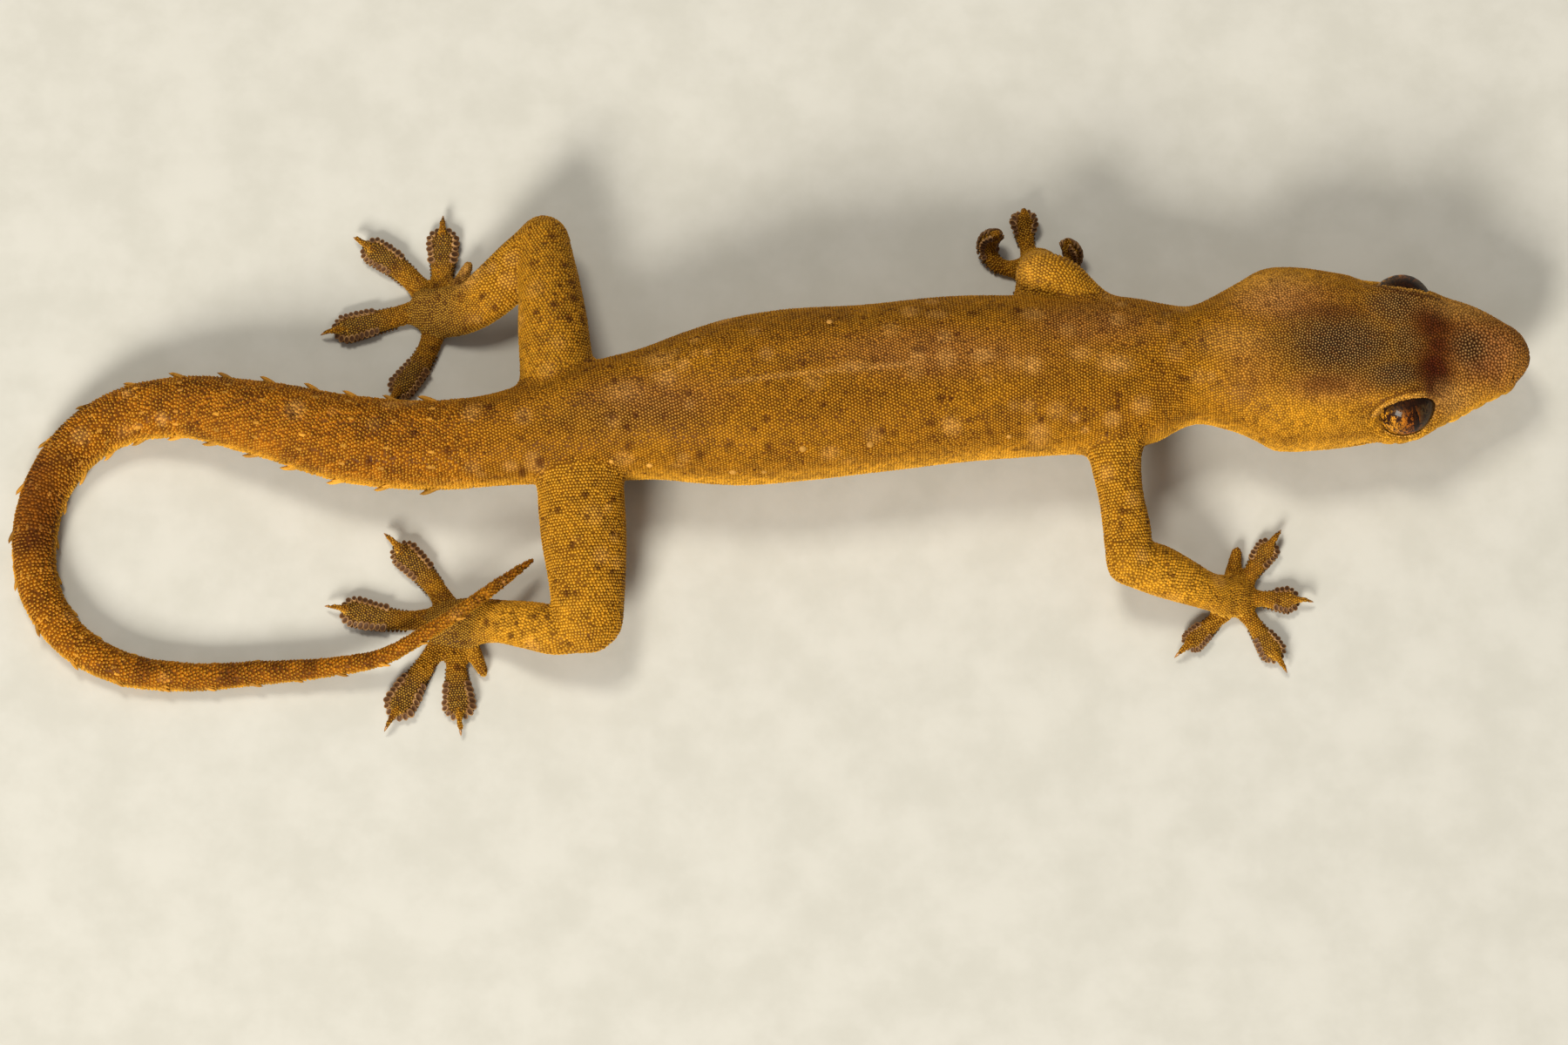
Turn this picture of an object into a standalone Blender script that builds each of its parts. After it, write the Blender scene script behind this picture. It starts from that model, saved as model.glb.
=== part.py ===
# House gecko, life size, standing on its four feet with the bend of its tail on the ground.
# The head points along +X, the back is up, and the tail curls round behind the right hind foot.
# Sizes in the tables are millimetres in the gecko's own axes. MIDDLE is the point of those axes
# that lies under the middle of its box, and becomes the origin.

import math
import random

import bmesh
import bpy
import numpy as np
from mathutils import Vector

for thing in list(bpy.data.objects):
    bpy.data.objects.remove(thing, do_unlink=True)

MM = 0.001
MIDDLE = Vector((-0.97, 2.89, 0.0))
GAP = 0.3  # clearance between two pieces that meet
RING_STEP = 1.5  # along the body
TAIL_STEP = 1.25
LIMB_STEP = 1.1
CLAW_STEP = 0.55
HEAD_STEP = 0.98
HEAD_TIP_PLACES = (0.02, 0.12, 0.3, 0.6, 1.0, 1.5, 2.1, 2.8, 3.6)  # rings close up towards the snout
HEAD_EVEN_FROM = 4.5
BODY_SIDES = 26
TAIL_SIDES = 14
LIMB_SIDES = 14
TOE_SIDES = 8
CLAW_SIDES = 6
SPINE_SIDES = 5
DOME_TURNS = (0, 32, 58, 78)  # rings of a round end, in degrees from its rim
TIP_SHARE = 0.4  # a pointed end stands out by this share of its last half width

# Spine from the snout to the tip of the tail: x, y, half width, underside, back
SPINE = (
    (41.30, 8.28, 0.62, 2.70, 3.85),
    (40.75, 8.40, 1.46, 2.22, 4.60),
    (39.60, 8.52, 2.20, 1.90, 5.15),
    (37.70, 8.58, 3.16, 1.60, 5.80),
    (35.70, 8.42, 3.84, 1.45, 6.45),
    (33.70, 8.32, 4.30, 1.40, 6.90),
    (31.80, 8.30, 4.75, 1.40, 7.10),
    (29.90, 8.34, 5.05, 1.40, 7.20),
    (28.00, 8.40, 5.22, 1.40, 7.20),
    (26.90, 8.38, 5.15, 1.40, 7.15),
    (25.60, 8.30, 4.45, 1.40, 7.05),
    (24.20, 8.18, 3.76, 1.35, 6.90),
    (22.60, 8.04, 3.28, 1.30, 6.80),
    (21.30, 7.92, 3.60, 1.20, 6.90),
    (20.20, 7.78, 4.06, 1.10, 7.05),
    (18.40, 7.56, 4.34, 1.00, 7.30),
    (14.50, 7.42, 4.46, 0.80, 7.70),
    (9.60, 7.20, 4.62, 0.70, 8.00),
    (4.80, 6.66, 4.66, 0.60, 8.10),
    (0.00, 6.22, 4.78, 0.60, 8.10),
    (-2.80, 5.86, 4.62, 0.60, 8.00),
    (-5.20, 5.54, 4.17, 0.70, 7.75),
    (-7.40, 5.24, 3.64, 0.85, 7.40),
    (-10.00, 4.85, 3.36, 1.00, 7.05),
    (-13.00, 4.30, 2.95, 1.20, 6.70),
    (-15.60, 3.88, 2.56, 1.25, 6.20),
    (-19.20, 3.59, 2.46, 1.20, 5.70),
    (-24.00, 4.01, 2.42, 1.15, 5.20),
    (-29.00, 5.31, 2.08, 1.00, 4.50),
    (-33.90, 6.17, 1.68, 0.45, 3.45),
    (-37.00, 5.70, 1.54, -0.10, 2.85),
    (-39.40, 4.12, 1.42, -0.25, 2.50),
    (-40.90, 1.90, 1.31, -0.25, 2.30),
    (-41.60, -1.00, 1.24, -0.25, 2.15),
    (-41.20, -4.20, 1.15, -0.20, 2.00),
    (-39.50, -6.80, 1.05, -0.20, 1.85),
    (-36.60, -8.50, 0.93, -0.20, 1.65),
    (-33.00, -9.00, 0.80, -0.10, 1.50),
    (-28.90, -8.80, 0.68, 0.15, 1.45),
    (-25.00, -8.55, 0.56, 0.60, 1.70),
    (-22.00, -8.10, 0.50, 1.30, 2.30),
    (-19.60, -6.90, 0.46, 2.05, 2.95),
    (-17.30, -5.40, 0.42, 2.30, 3.10),
    (-15.40, -3.85, 0.36, 1.90, 2.60),
    (-13.85, -2.50, 0.20, 1.35, 1.75),
)
WIDEST = 0.43  # share of the height at which the body is widest
BACK_SQUARE = 2.2  # 2 is an ellipse, more is boxier
BELLY_SQUARE = 2.7
LIMB_SQUARE = 2.1
TOE_SQUARE = 2.5

# Distance from the snout along the spine at which each piece ends
HEAD_END = 16.2
NECK_END = 20.4
TORSO_END = 50.8
HIPS_END = 58.0
TRUNK_MARGINS = (2.0, 4.0)  # how far the trunk that parts the limbs runs past the neck and the hips

# Tail spines stand in whorls, and the tail is parted between two whorls
WHORL_START = 60.9
WHORL_STEP = 2.45
WHORLS = (2, 3, 3, 3, 3, 4, 4, 3)  # in each length of the tail
PART_AFTER_WHORL = 1.6
SPINE_ROWS = (  # degrees up from the side, length, half width as a share of it, share of the tail it reaches
    (5, 1.0, 0.28, 1.0),
    (36, 0.62, 0.4, 0.72),
    (66, 0.56, 0.42, 0.5),
)
SPINE_TAPER = 0.5  # how much shorter the last spines are
SPINE_FLAT = 0.75
SPINE_LEAN = math.radians(32)
SPINE_ROOT = 0.3
SPINE_NEAR = 0.2

# Head: mouth, eyes, ears and nostrils, placed from its middle line and its own surface
MOUTH_LIFT = 0.33  # share of the head's height
MOUTH_CORNER = 12.6  # distance from the snout
MOUTH_DEPTH = 0.34
LIP_EDGE = 0.13
LIP_CREST = 0.42
LIP_BULGE = 0.08
MOUTH_FADE = 1.2  # the line closes over this length at its corner
HEAD_SQUARE = 2.5
HEAD_UPPER_SIDES = 16
HEAD_LOWER_SIDES = 10
EYE_PLACE = 7.2
EYE_ACROSS = 2.69
EYE_Z = 4.7
EYE_RADIUS = 1.79
EYE_BACK = 0.1  # an eyeball ends in a flat back this far behind its centre
EYE_UP = {1: math.radians(17), -1: math.radians(33)}  # the head is held a little to its right
EYE_FORWARD = math.radians(17)
EYE_CUP = ((2.6, -1.5), (2.6, -0.5), (2.5, 0.25), (2.34, 0.72), (2.1, 0.98), (1.7, 0.85))
EYE_SIDES = 20
EAR_PLACE = 15.1
EAR_Z = 3.75
EAR_RADII = (0.38, 0.75, 0.62)
NOSTRIL_PLACE = 0.95
NOSTRIL_ACROSS = 1.0
NOSTRIL_Z = 4.1
NOSTRIL_RADIUS = 0.26

# Limbs from the body outwards: x, y, z, half width, half height.
# A lower limb runs on into the palm, and is parted from it at the ankle.
UPPER_LIMBS = {
    "thigh_left": (
        (-12.5, 5.4, 4.0, 2.00, 1.90),
        (-12.6, 7.6, 3.9, 2.10, 1.95),
        (-12.8, 10.0, 3.8, 2.00, 1.90),
        (-13.05, 12.6, 3.5, 1.76, 1.70),
        (-13.35, 14.9, 3.1, 1.54, 1.50),
        (-13.55, 17.0, 2.8, 1.42, 1.38),
    ),
    "thigh_right": (
        (-11.4, 3.4, 4.0, 2.20, 1.90),
        (-11.2, 0.7, 3.9, 2.46, 1.95),
        (-11.05, -1.4, 3.7, 2.42, 1.95),
        (-10.85, -3.8, 3.4, 2.20, 1.80),
        (-10.75, -6.0, 3.0, 1.98, 1.60),
        (-10.55, -8.2, 2.6, 1.74, 1.45),
    ),
    "upper_arm_left": (
        (19.2, 9.0, 4.2, 1.50, 1.50),
        (18.0, 10.2, 4.5, 1.40, 1.45),
        (16.6, 11.4, 4.8, 1.30, 1.36),
        (15.2, 12.6, 5.0, 1.34, 1.34),
        (12.75, 13.0, 4.9, 1.32, 1.32),
    ),
    "upper_arm_right": (
        (18.4, 5.2, 4.2, 1.50, 1.50),
        (18.3, 2.8, 4.0, 1.54, 1.45),
        (18.6, 0.5, 3.7, 1.30, 1.35),
        (18.95, -1.7, 3.3, 1.36, 1.25),
        (18.9, -4.4, 2.9, 1.20, 1.20),
    ),
}
LOWER_LIMBS = {
    "left hind": (
        (-12.9, 16.2, 2.9, 1.30, 1.20),
        (-14.7, 14.3, 2.5, 1.54, 1.35),
        (-16.1, 13.0, 2.1, 1.54, 1.25),
        (-17.5, 12.1, 1.5, 1.44, 1.00),
        (-19.2, 12.0, 0.8, 1.46, 0.80),
        (-21.0, 12.4, 0.4, 0.95, 0.50),
    ),
    "right hind": (
        (-10.5, -6.6, 2.8, 1.25, 1.15),
        (-12.2, -6.8, 2.4, 1.42, 1.30),
        (-14.0, -6.4, 2.0, 1.36, 1.15),
        (-15.7, -6.0, 1.3, 1.26, 0.90),
        (-17.9, -5.9, 0.7, 1.42, 0.66),
        (-19.8, -6.2, 0.4, 0.95, 0.50),
    ),
    "left fore": (
        (13.9, 12.6, 5.1, 1.00, 1.00),
        (14.1, 13.4, 3.8, 1.20, 1.20),
        (14.2, 14.0, 2.5, 1.12, 1.12),
        (14.3, 14.5, 1.3, 1.15, 1.00),
        (14.3, 15.6, 0.5, 1.00, 0.60),
    ),
    "right fore": (
        (18.2, -3.0, 3.0, 1.10, 1.10),
        (20.3, -3.3, 2.5, 1.50, 1.25),
        (22.2, -3.9, 1.9, 1.28, 1.05),
        (23.6, -4.3, 1.2, 1.10, 0.85),
        (24.8, -4.4, 0.7, 1.16, 0.66),
        (25.9, -4.5, 0.4, 0.85, 0.50),
    ),
}
LIMB_NAMES = {
    "left hind": ("thigh_left", "shin_left", "hindfoot_left"),
    "right hind": ("thigh_right", "shin_right", "hindfoot_right"),
    "left fore": ("upper_arm_left", "forearm_left", "forefoot_left"),
    "right fore": ("upper_arm_right", "forearm_right", "forefoot_right"),
}
ANKLE = {"left hind": 6.4, "right hind": 6.4, "left fore": 3.6, "right fore": 5.9}

# Toes from the palm to the end of the pad, first toe first, and how far each claw goes on
TOES = {
    "left hind": (
        ((-18.8, 12.4), (-18.2, 13.7, 0.7), (-17.6, 14.9, 0.9)),
        ((-19.3, 12.7), (-19.2, 14.4), (-19.2, 16.9)),
        ((-20.0, 13.0), (-21.5, 14.6), (-23.5, 16.0)),
        ((-20.1, 12.3), (-22.0, 11.8), (-25.1, 11.0)),
        ((-19.5, 11.4), (-20.1, 9.6), (-21.7, 7.3)),
    ),
    "right hind": (
        ((-17.6, -6.7), (-17.0, -7.9), (-16.5, -8.9)),
        ((-18.2, -6.9), (-18.1, -8.8), (-17.9, -11.2)),
        ((-18.8, -6.8), (-20.0, -8.5), (-21.5, -11.1)),
        ((-19.0, -5.6), (-21.2, -5.7), (-24.4, -5.1)),
        ((-18.5, -5.2), (-19.6, -3.5), (-21.5, -1.5)),
    ),
    "left fore": (
        ((15.2, 14.3), (16.3, 13.5), (17.0, 13.0)),
        ((15.1, 14.7), (16.0, 14.9), (16.2, 15.4, 1.0), (15.8, 15.8, 1.7)),
        ((13.9, 15.2), (13.6, 16.4), (13.5, 17.2, 0.6), (13.5, 17.75, 1.15)),
        ((13.6, 14.7), (12.4, 14.7), (11.5, 15.5, 0.5), (11.5, 16.1, 1.2), (12.0, 16.2, 1.9)),
        ((13.6, 14.0), (13.3, 12.9), (13.2, 11.8)),
    ),
    "right fore": (
        ((24.8, -3.8), (25.0, -2.6), (25.2, -1.5)),
        ((25.4, -3.9), (26.2, -2.6), (27.1, -1.3)),
        ((25.7, -4.4), (26.9, -4.5), (28.4, -4.6)),
        ((25.4, -5.0), (26.3, -6.3), (27.3, -7.9)),
        ((24.5, -5.1), (23.6, -6.0), (22.3, -7.2)),
    ),
}
PAD_WIDTHS = {
    "left hind": (0.45, 0.86, 0.76, 0.78, 0.74),
    "right hind": (0.45, 0.86, 0.86, 0.82, 0.76),
    "left fore": (0.4, 0.6, 0.74, 0.6, 0.6),
    "right fore": (0.4, 0.66, 0.72, 0.72, 0.64),
}
CLAW_REACH = {"left hind": 0.8, "right hind": 0.98, "left fore": 0.3, "right fore": 0.86}
TOE_NECK = {"left hind": 0.60, "right hind": 0.56, "left fore": 0.45, "right fore": 0.45}
TOE_Z = 0.3
TOE_HEIGHT = 0.4
TOE_SHARES = (0.0, 0.35, 0.62, 0.85, 0.96, 1.0)
TOE_ROOT = 0.14  # how much wider than its neck a toe leaves the palm
PAD_END = (0.8, 0.45)  # the pad rounds off to these shares of its width
PAD_FLAT = 0.9
THUMB = (0.54, 0.22)  # the first toe has no pad, and tapers between these half widths
CLAW_RADIUS = 0.23
CLAW_ROOT = ((-0.9, 0.1), (-0.1, 0.38))  # along the toe from its end, and up
CLAW_FREE = ((0.55, 0.36, 0.78), (1.0, 0.02, 0.3))  # share of the reach, up, share of the radius


def cubic_rows(rows, places):
    """Rows read at the given distances along a smooth curve through the listed ones."""
    rows = np.array(rows, float)
    steps = np.linalg.norm(rows[1:, :3] - rows[:-1, :3], axis=1)
    knots = np.concatenate([[0.0], np.cumsum(steps)])
    secants = (rows[1:] - rows[:-1]) / steps[:, None]
    slopes = np.vstack([secants[:1], secants])
    before = steps[:-1, None]
    after = steps[1:, None]
    slopes[1:-1] = (secants[:-1] * after + secants[1:] * before) / (before + after)
    found = []
    for place in places:
        k = int(np.clip(np.searchsorted(knots, place) - 1, 0, len(steps) - 1))
        t = (place - knots[k]) / steps[k]
        found.append(
            (2 * t**3 - 3 * t**2 + 1) * rows[k]
            + (t**3 - 2 * t**2 + t) * steps[k] * slopes[k]
            + (3 * t**2 - 2 * t**3) * rows[k + 1]
            + (t**3 - t**2) * steps[k] * slopes[k + 1]
        )
    return np.array(found)


def length_of(rows):
    points = np.array(rows, float)[:, :3]
    return float(np.linalg.norm(points[1:] - points[:-1], axis=1).sum())


def frames_along(rows, upright):
    """Centre, side and up vectors of each row, with the side carried along without twist."""
    centres = [Vector(row[:3]) for row in rows]
    frames = []
    side = None
    for k, centre in enumerate(centres):
        ahead = centres[min(k + 1, len(centres) - 1)] - centres[max(k - 1, 0)]
        if upright:
            ahead.z = 0.0
        ahead.normalize()
        if side is None:
            side = Vector((0, 0, 1)).cross(ahead)
        side = (side - ahead * side.dot(ahead)).normalized()
        frames.append((centre, side.copy(), ahead.cross(side)))
    return frames


def signed_power(value, power):
    return math.copysign(abs(value) ** power, value)


def section_point(frame, row, angle, squares, grow=0.0):
    """Point of a rounded section: angle 0 is its side and 90 degrees its top."""
    centre, side, up = frame
    across, rise, fall = row[3] + grow, row[4] + grow, row[5] + grow
    top = math.sin(angle) > 0
    power = 2 / (squares[0] if top else squares[1])
    height = (rise if top else fall) * signed_power(math.sin(angle), power)
    point = centre + side * (across * signed_power(math.cos(angle), power)) + up * height
    return Vector((point.x, point.y, max(point.z, 0.0)))


def mesh_object(name, points, faces):
    mesh = bpy.data.meshes.new(name)
    mesh.from_pydata([(Vector(point) - MIDDLE) * MM for point in points], [], faces)
    body = bmesh.new()
    body.from_mesh(mesh)
    bmesh.ops.recalc_face_normals(body, faces=body.faces)
    body.to_mesh(mesh)
    body.free()
    made = bpy.data.objects.new(name, mesh)
    bpy.context.scene.collection.objects.link(made)
    return made


def closed_rings(name, rings, start=None, end=None):
    """Closed mesh over equal rings, with a point or else a flat face at each end."""
    sides = len(rings[0])
    points = [point for ring in rings for point in ring]
    faces = []
    for k in range(len(rings) - 1):
        for j in range(sides):
            a = k * sides + j
            b = k * sides + (j + 1) % sides
            faces.append((a, b, b + sides, a + sides))
    for tip, first in ((start, 0), (end, (len(rings) - 1) * sides)):
        if tip is None:
            faces.append(tuple(range(first, first + sides)))
        else:
            points.append(tip)
            hub = len(points) - 1
            faces += [(first + j, first + (j + 1) % sides, hub) for j in range(sides)]
    return mesh_object(name, points, faces)


def even_places(first, last, step):
    count = max(2, round((last - first) / step) + 1)
    return [first + (last - first) * k / (count - 1) for k in range(count)]


def loft(name, rows, places, sides, squares, grow=0.0, upright=False, tips=(False, False), dome=0.0):
    """Closed body whose rings follow the rows, ending flat, in a point, or in a round dome."""
    places = list(places)
    end = places[-1]
    if dome:
        places = [place for place in places if place < end - 1.3 * dome]
        places += [end - dome * (1 - math.sin(math.radians(turn))) for turn in DOME_TURNS]
    found = cubic_rows(rows, places)
    frames = frames_along(found, upright)
    if dome:
        for row, turn in zip(found[-len(DOME_TURNS):], DOME_TURNS):
            row[3:] *= math.cos(math.radians(turn))
    turns = [math.tau * (j + 0.5) / sides for j in range(sides)]
    rings = [
        [section_point(frame, row, turn, squares, grow) for turn in turns]
        for frame, row in zip(frames, found)
    ]
    ends = [None, None]
    for end, (k, inner) in enumerate(((0, 1), (-1, -2))):
        if tips[end]:
            outward = (frames[k][0] - frames[inner][0]).normalized()
            ends[end] = frames[k][0] + outward * (found[k][3] * TIP_SHARE + grow * 0.5)
    return closed_rings(name, rings, ends[0], ends[1])


def apply_boolean(target, pieces, operation):
    """Joins or cuts with all the pieces at once, and keeps the largest closed surface."""
    group = bpy.data.collections.new("pieces")
    bpy.context.scene.collection.children.link(group)
    for piece in pieces:
        bpy.context.scene.collection.objects.unlink(piece)
        group.objects.link(piece)
    modifier = target.modifiers.new("boolean", "BOOLEAN")
    modifier.operation = operation
    modifier.operand_type = "COLLECTION"
    modifier.collection = group
    bpy.context.view_layer.update()
    graph = bpy.context.evaluated_depsgraph_get()
    mesh = bpy.data.meshes.new_from_object(target.evaluated_get(graph))
    target.modifiers.clear()
    target.data = mesh
    for piece in pieces:
        bpy.data.objects.remove(piece, do_unlink=True)
    bpy.data.collections.remove(group)
    keep_largest(target)


def keep_largest(target):
    body = bmesh.new()
    body.from_mesh(target.data)
    body.verts.ensure_lookup_table()
    left = set(body.verts)
    groups = []
    while left:
        heap = [left.pop()]
        group = set(heap)
        while heap:
            for edge in heap.pop().link_edges:
                for vert in edge.verts:
                    if vert in left:
                        left.remove(vert)
                        group.add(vert)
                        heap.append(vert)
        groups.append(group)
    largest = max(groups, key=len)
    scraps = [vert for group in groups if group is not largest for vert in group]
    bmesh.ops.delete(body, geom=scraps, context="VERTS")
    body.to_mesh(target.data)
    body.free()


def ball(name, centre, radii, levels=2):
    made = bpy.data.meshes.new(name)
    body = bmesh.new()
    bmesh.ops.create_icosphere(body, subdivisions=levels, radius=1.0)
    for vert in body.verts:
        vert.co = Vector(vert.co[axis] * radii[axis] for axis in range(3))
        vert.co = (vert.co + centre - MIDDLE) * MM
    body.to_mesh(made)
    body.free()
    thing = bpy.data.objects.new(name, made)
    bpy.context.scene.collection.objects.link(thing)
    return thing


def spine_rows():
    """The spine as section rows: centre, half width, and height above and below the widest line."""
    rows = []
    for x, y, across, under, back in SPINE:
        height = back - under
        rows.append((x, y, under + WIDEST * height, across, (1 - WIDEST) * height, WIDEST * height))
    return rows


def limb_rows(rows):
    return [(x, y, z, across, height, height) for x, y, z, across, height in rows]


def trunk_piece(name, first, last, sides, step, grow=0.0, tips=(False, False)):
    squares = (BACK_SQUARE, BELLY_SQUARE)
    places = even_places(first, last, step)
    return loft(name, spine_rows(), places, sides, squares, grow, True, tips)


def head_ring(row, frame, place):
    """Head section with the line of the mouth pressed in between two lips."""
    centre, side, up = frame
    across, rise, fall = row[3:6]
    open_share = min(1.0, max(0.0, (MOUTH_CORNER - place) / MOUTH_FADE))
    depth = min(MOUTH_DEPTH, 0.45 * across) * open_share
    bulge = min(LIP_BULGE, 0.1 * across) * open_share

    def half(height, sides, sign, square):
        edge = min(LIP_EDGE, 0.18 * height)
        crest = min(LIP_CREST, 0.42 * height)
        heights = [edge, crest]
        turns = sides // 2 - 2
        first = math.asin((crest / height) ** (square / 2))
        for k in range(1, turns + 1):
            angle = first + (math.pi / 2 - first) * (k - 0.5) / turns
            heights.append(height * math.sin(angle) ** (2 / square))
        found = []
        for k, level in enumerate(heights):
            out = across * (1 - (level / height) ** square) ** (1 / square)
            out += bulge * (0.3 if k == 0 else 1.0 if k == 1 else 0.0)
            found.append((out, sign * level))
        return found

    upper = half(rise, HEAD_UPPER_SIDES, 1, HEAD_SQUARE)
    lower = half(fall, HEAD_LOWER_SIDES, -1, BELLY_SQUARE)
    one_side = [(across - depth, 0.0)] + upper
    other = [(-out, level) for out, level in reversed(upper)] + [(depth - across, 0.0)]
    under = [(-out, level) for out, level in lower]
    under += [(out, level) for out, level in reversed(lower)]
    return [centre + side * out + up * level for out, level in one_side + other + under]


def head_rows():
    rows = []
    for x, y, across, under, back in SPINE:
        rise = (1 - MOUTH_LIFT) * (back - under)
        fall = MOUTH_LIFT * (back - under)
        rows.append((x, y, under + fall, across, rise, fall))
    return rows


def eye_frame(sign):
    """Centre of an eye, the way it looks, and two directions across it."""
    row = cubic_rows(head_rows(), [EYE_PLACE])[0]
    centre = Vector((row[0], row[1] + sign * EYE_ACROSS, EYE_Z))
    level = math.cos(EYE_UP[sign])
    aside = sign * math.cos(EYE_FORWARD) * level
    looks = Vector((math.sin(EYE_FORWARD) * level, aside, math.sin(EYE_UP[sign])))
    along = Vector((1, 0, 0)) - looks * looks.x
    along.normalize()
    return centre, looks, along, looks.cross(along)


def eye_ball(name, sign, more=0.0):
    """An eyeball, or with a larger radius its socket, flat behind where the head hides it."""
    centre, looks = eye_frame(sign)[:2]
    thing = ball(name, centre, (EYE_RADIUS + more,) * 3, 3)
    for vert in thing.data.vertices:
        behind = ((centre - MIDDLE) * MM - vert.co).dot(looks) - (EYE_BACK + more) * MM
        if behind > 0:
            vert.co += looks * behind
    return thing


def eye_cup(sign):
    """Brow, rim and lower fold of one eye: a ring raised on the head round the eyeball."""
    centre, looks, along, other = eye_frame(sign)
    rings = []
    for radius, height in EYE_CUP:
        ring = []
        for j in range(EYE_SIDES):
            turn = math.tau * j / EYE_SIDES
            out = along * math.cos(turn) + other * math.sin(turn)
            ring.append(centre + looks * height + out * radius)
        rings.append(ring)
    return closed_rings("eye_cup", rings)


def build_head():
    rows = head_rows()
    places = list(HEAD_TIP_PLACES) + even_places(HEAD_EVEN_FROM, HEAD_END, HEAD_STEP)
    found = cubic_rows(rows, places)
    frames = frames_along(found, True)
    rings = [head_ring(row, frame, place) for row, frame, place in zip(found, frames, places)]
    head = closed_rings("head", rings, frames[0][0] + Vector((-0.12, 0, 0)))
    apply_boolean(head, [eye_cup(1), eye_cup(-1)], "UNION")
    cutters = []
    for sign in (1, -1):
        cutters.append(eye_ball("socket", sign, GAP))
        ear = cubic_rows(rows, [EAR_PLACE])[0]
        cutters.append(ball("ear", Vector((ear[0], ear[1] + sign * ear[3], EAR_Z)), EAR_RADII))
        nose = cubic_rows(rows, [NOSTRIL_PLACE])[0]
        at = Vector((nose[0], nose[1] + sign * NOSTRIL_ACROSS, NOSTRIL_Z))
        cutters.append(ball("nostril", at, (NOSTRIL_RADIUS,) * 3))
    apply_boolean(head, cutters, "DIFFERENCE")
    return head


def tail_spine(place, angle, length, half):
    """One blunt spine that leans back from its place on the tail, with its root sunk in."""
    rows = spine_rows()
    found = cubic_rows(rows, [place - SPINE_NEAR, place, place + SPINE_NEAR])
    frame = frames_along(found, True)[1]
    surface = section_point(frame, found[1], angle, (BACK_SQUARE, BELLY_SQUARE))
    near = section_point(frame, found[1], angle + 0.1, (BACK_SQUARE, BELLY_SQUARE))
    across = (near - surface).normalized()
    back = (Vector(found[2][:3]) - Vector(found[0][:3])).normalized()
    out = across.cross(back).normalized()
    if out.dot(surface - frame[0]) < 0:
        out.negate()
    way = back * math.cos(SPINE_LEAN) + out * math.sin(SPINE_LEAN)
    width = half * length
    root = surface - way * SPINE_ROOT
    rise = way.cross(across).normalized()
    ring = []
    for j in range(SPINE_SIDES):
        turn = math.tau * j / SPINE_SIDES
        ring.append(root + across * (width * math.cos(turn)) + rise * (SPINE_FLAT * width * math.sin(turn)))
    return closed_rings("spine", [ring], end=surface + way * length)


def build_tail():
    total = length_of(spine_rows())
    first = HIPS_END + GAP
    whorl = 0
    made = []
    dice = random.Random(11)
    for number, count in enumerate(WHORLS, 1):
        last = WHORL_START + WHORL_STEP * (whorl + count - 1) + PART_AFTER_WHORL
        end = number == len(WHORLS)
        if end:
            last = total
        piece = trunk_piece(f"tail_{number}", first, last, TAIL_SIDES, TAIL_STEP, tips=(False, end))
        spines = []
        for k in range(whorl, whorl + count):
            place = WHORL_START + WHORL_STEP * k
            share = (place - HIPS_END) / (total - HIPS_END)
            for angle, long, half, until in SPINE_ROWS:
                if share > until:
                    continue
                for turn in (angle, 180 - angle):
                    length = long * (1 - SPINE_TAPER * share) * dice.uniform(0.9, 1.1)
                    spines.append(tail_spine(place, math.radians(turn), length, half))
        apply_boolean(piece, spines, "UNION")
        made.append(piece)
        whorl += count
        first = last + GAP
    return made


def toe_points(points):
    return [point if len(point) == 3 else point + (TOE_Z,) for point in points]


def toe(points, pad, neck, is_thumb):
    """One toe that widens from its neck into the climbing pad, or the small first toe."""
    points = toe_points(points)
    rows = [point + (neck, TOE_HEIGHT, TOE_HEIGHT) for point in points]
    length = length_of(rows)
    if is_thumb:
        widths = [THUMB[0] + (THUMB[1] - THUMB[0]) * share for share in TOE_SHARES]
    else:
        widths = [neck + TOE_ROOT, neck, 0.5 * (neck + pad), pad] + [share * pad for share in PAD_END]
    found = cubic_rows(rows, [share * length for share in TOE_SHARES])
    for row, width in zip(found, widths):
        row[3] = width
        row[4:] = TOE_HEIGHT * (PAD_FLAT if width == pad else 1)
    frames = frames_along(found, False)
    turns = [math.tau * (j + 0.5) / TOE_SIDES for j in range(TOE_SIDES)]
    rings = [
        [section_point(frame, row, turn, (TOE_SQUARE, TOE_SQUARE)) for turn in turns]
        for frame, row in zip(frames, found)
    ]
    return closed_rings("toe", rings)


def claw(points, reach):
    """The free last joint of a toe: it rises off the pad and hooks down past it."""
    points = toe_points(points)
    end = Vector(points[-1])
    before = Vector(points[-2])
    way = (end - before).normalized()
    up = Vector((0, 0, 1))
    path = [(end + way * on + up * rise, CLAW_RADIUS) for on, rise in CLAW_ROOT]
    path += [(end + way * on * reach + up * rise, size * CLAW_RADIUS) for on, rise, size in CLAW_FREE]
    rows = [tuple(point) + (radius,) * 3 for point, radius in path]
    places = even_places(0, length_of(rows), CLAW_STEP)
    return loft("claw", rows, places, CLAW_SIDES, (2, 2))


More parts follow.
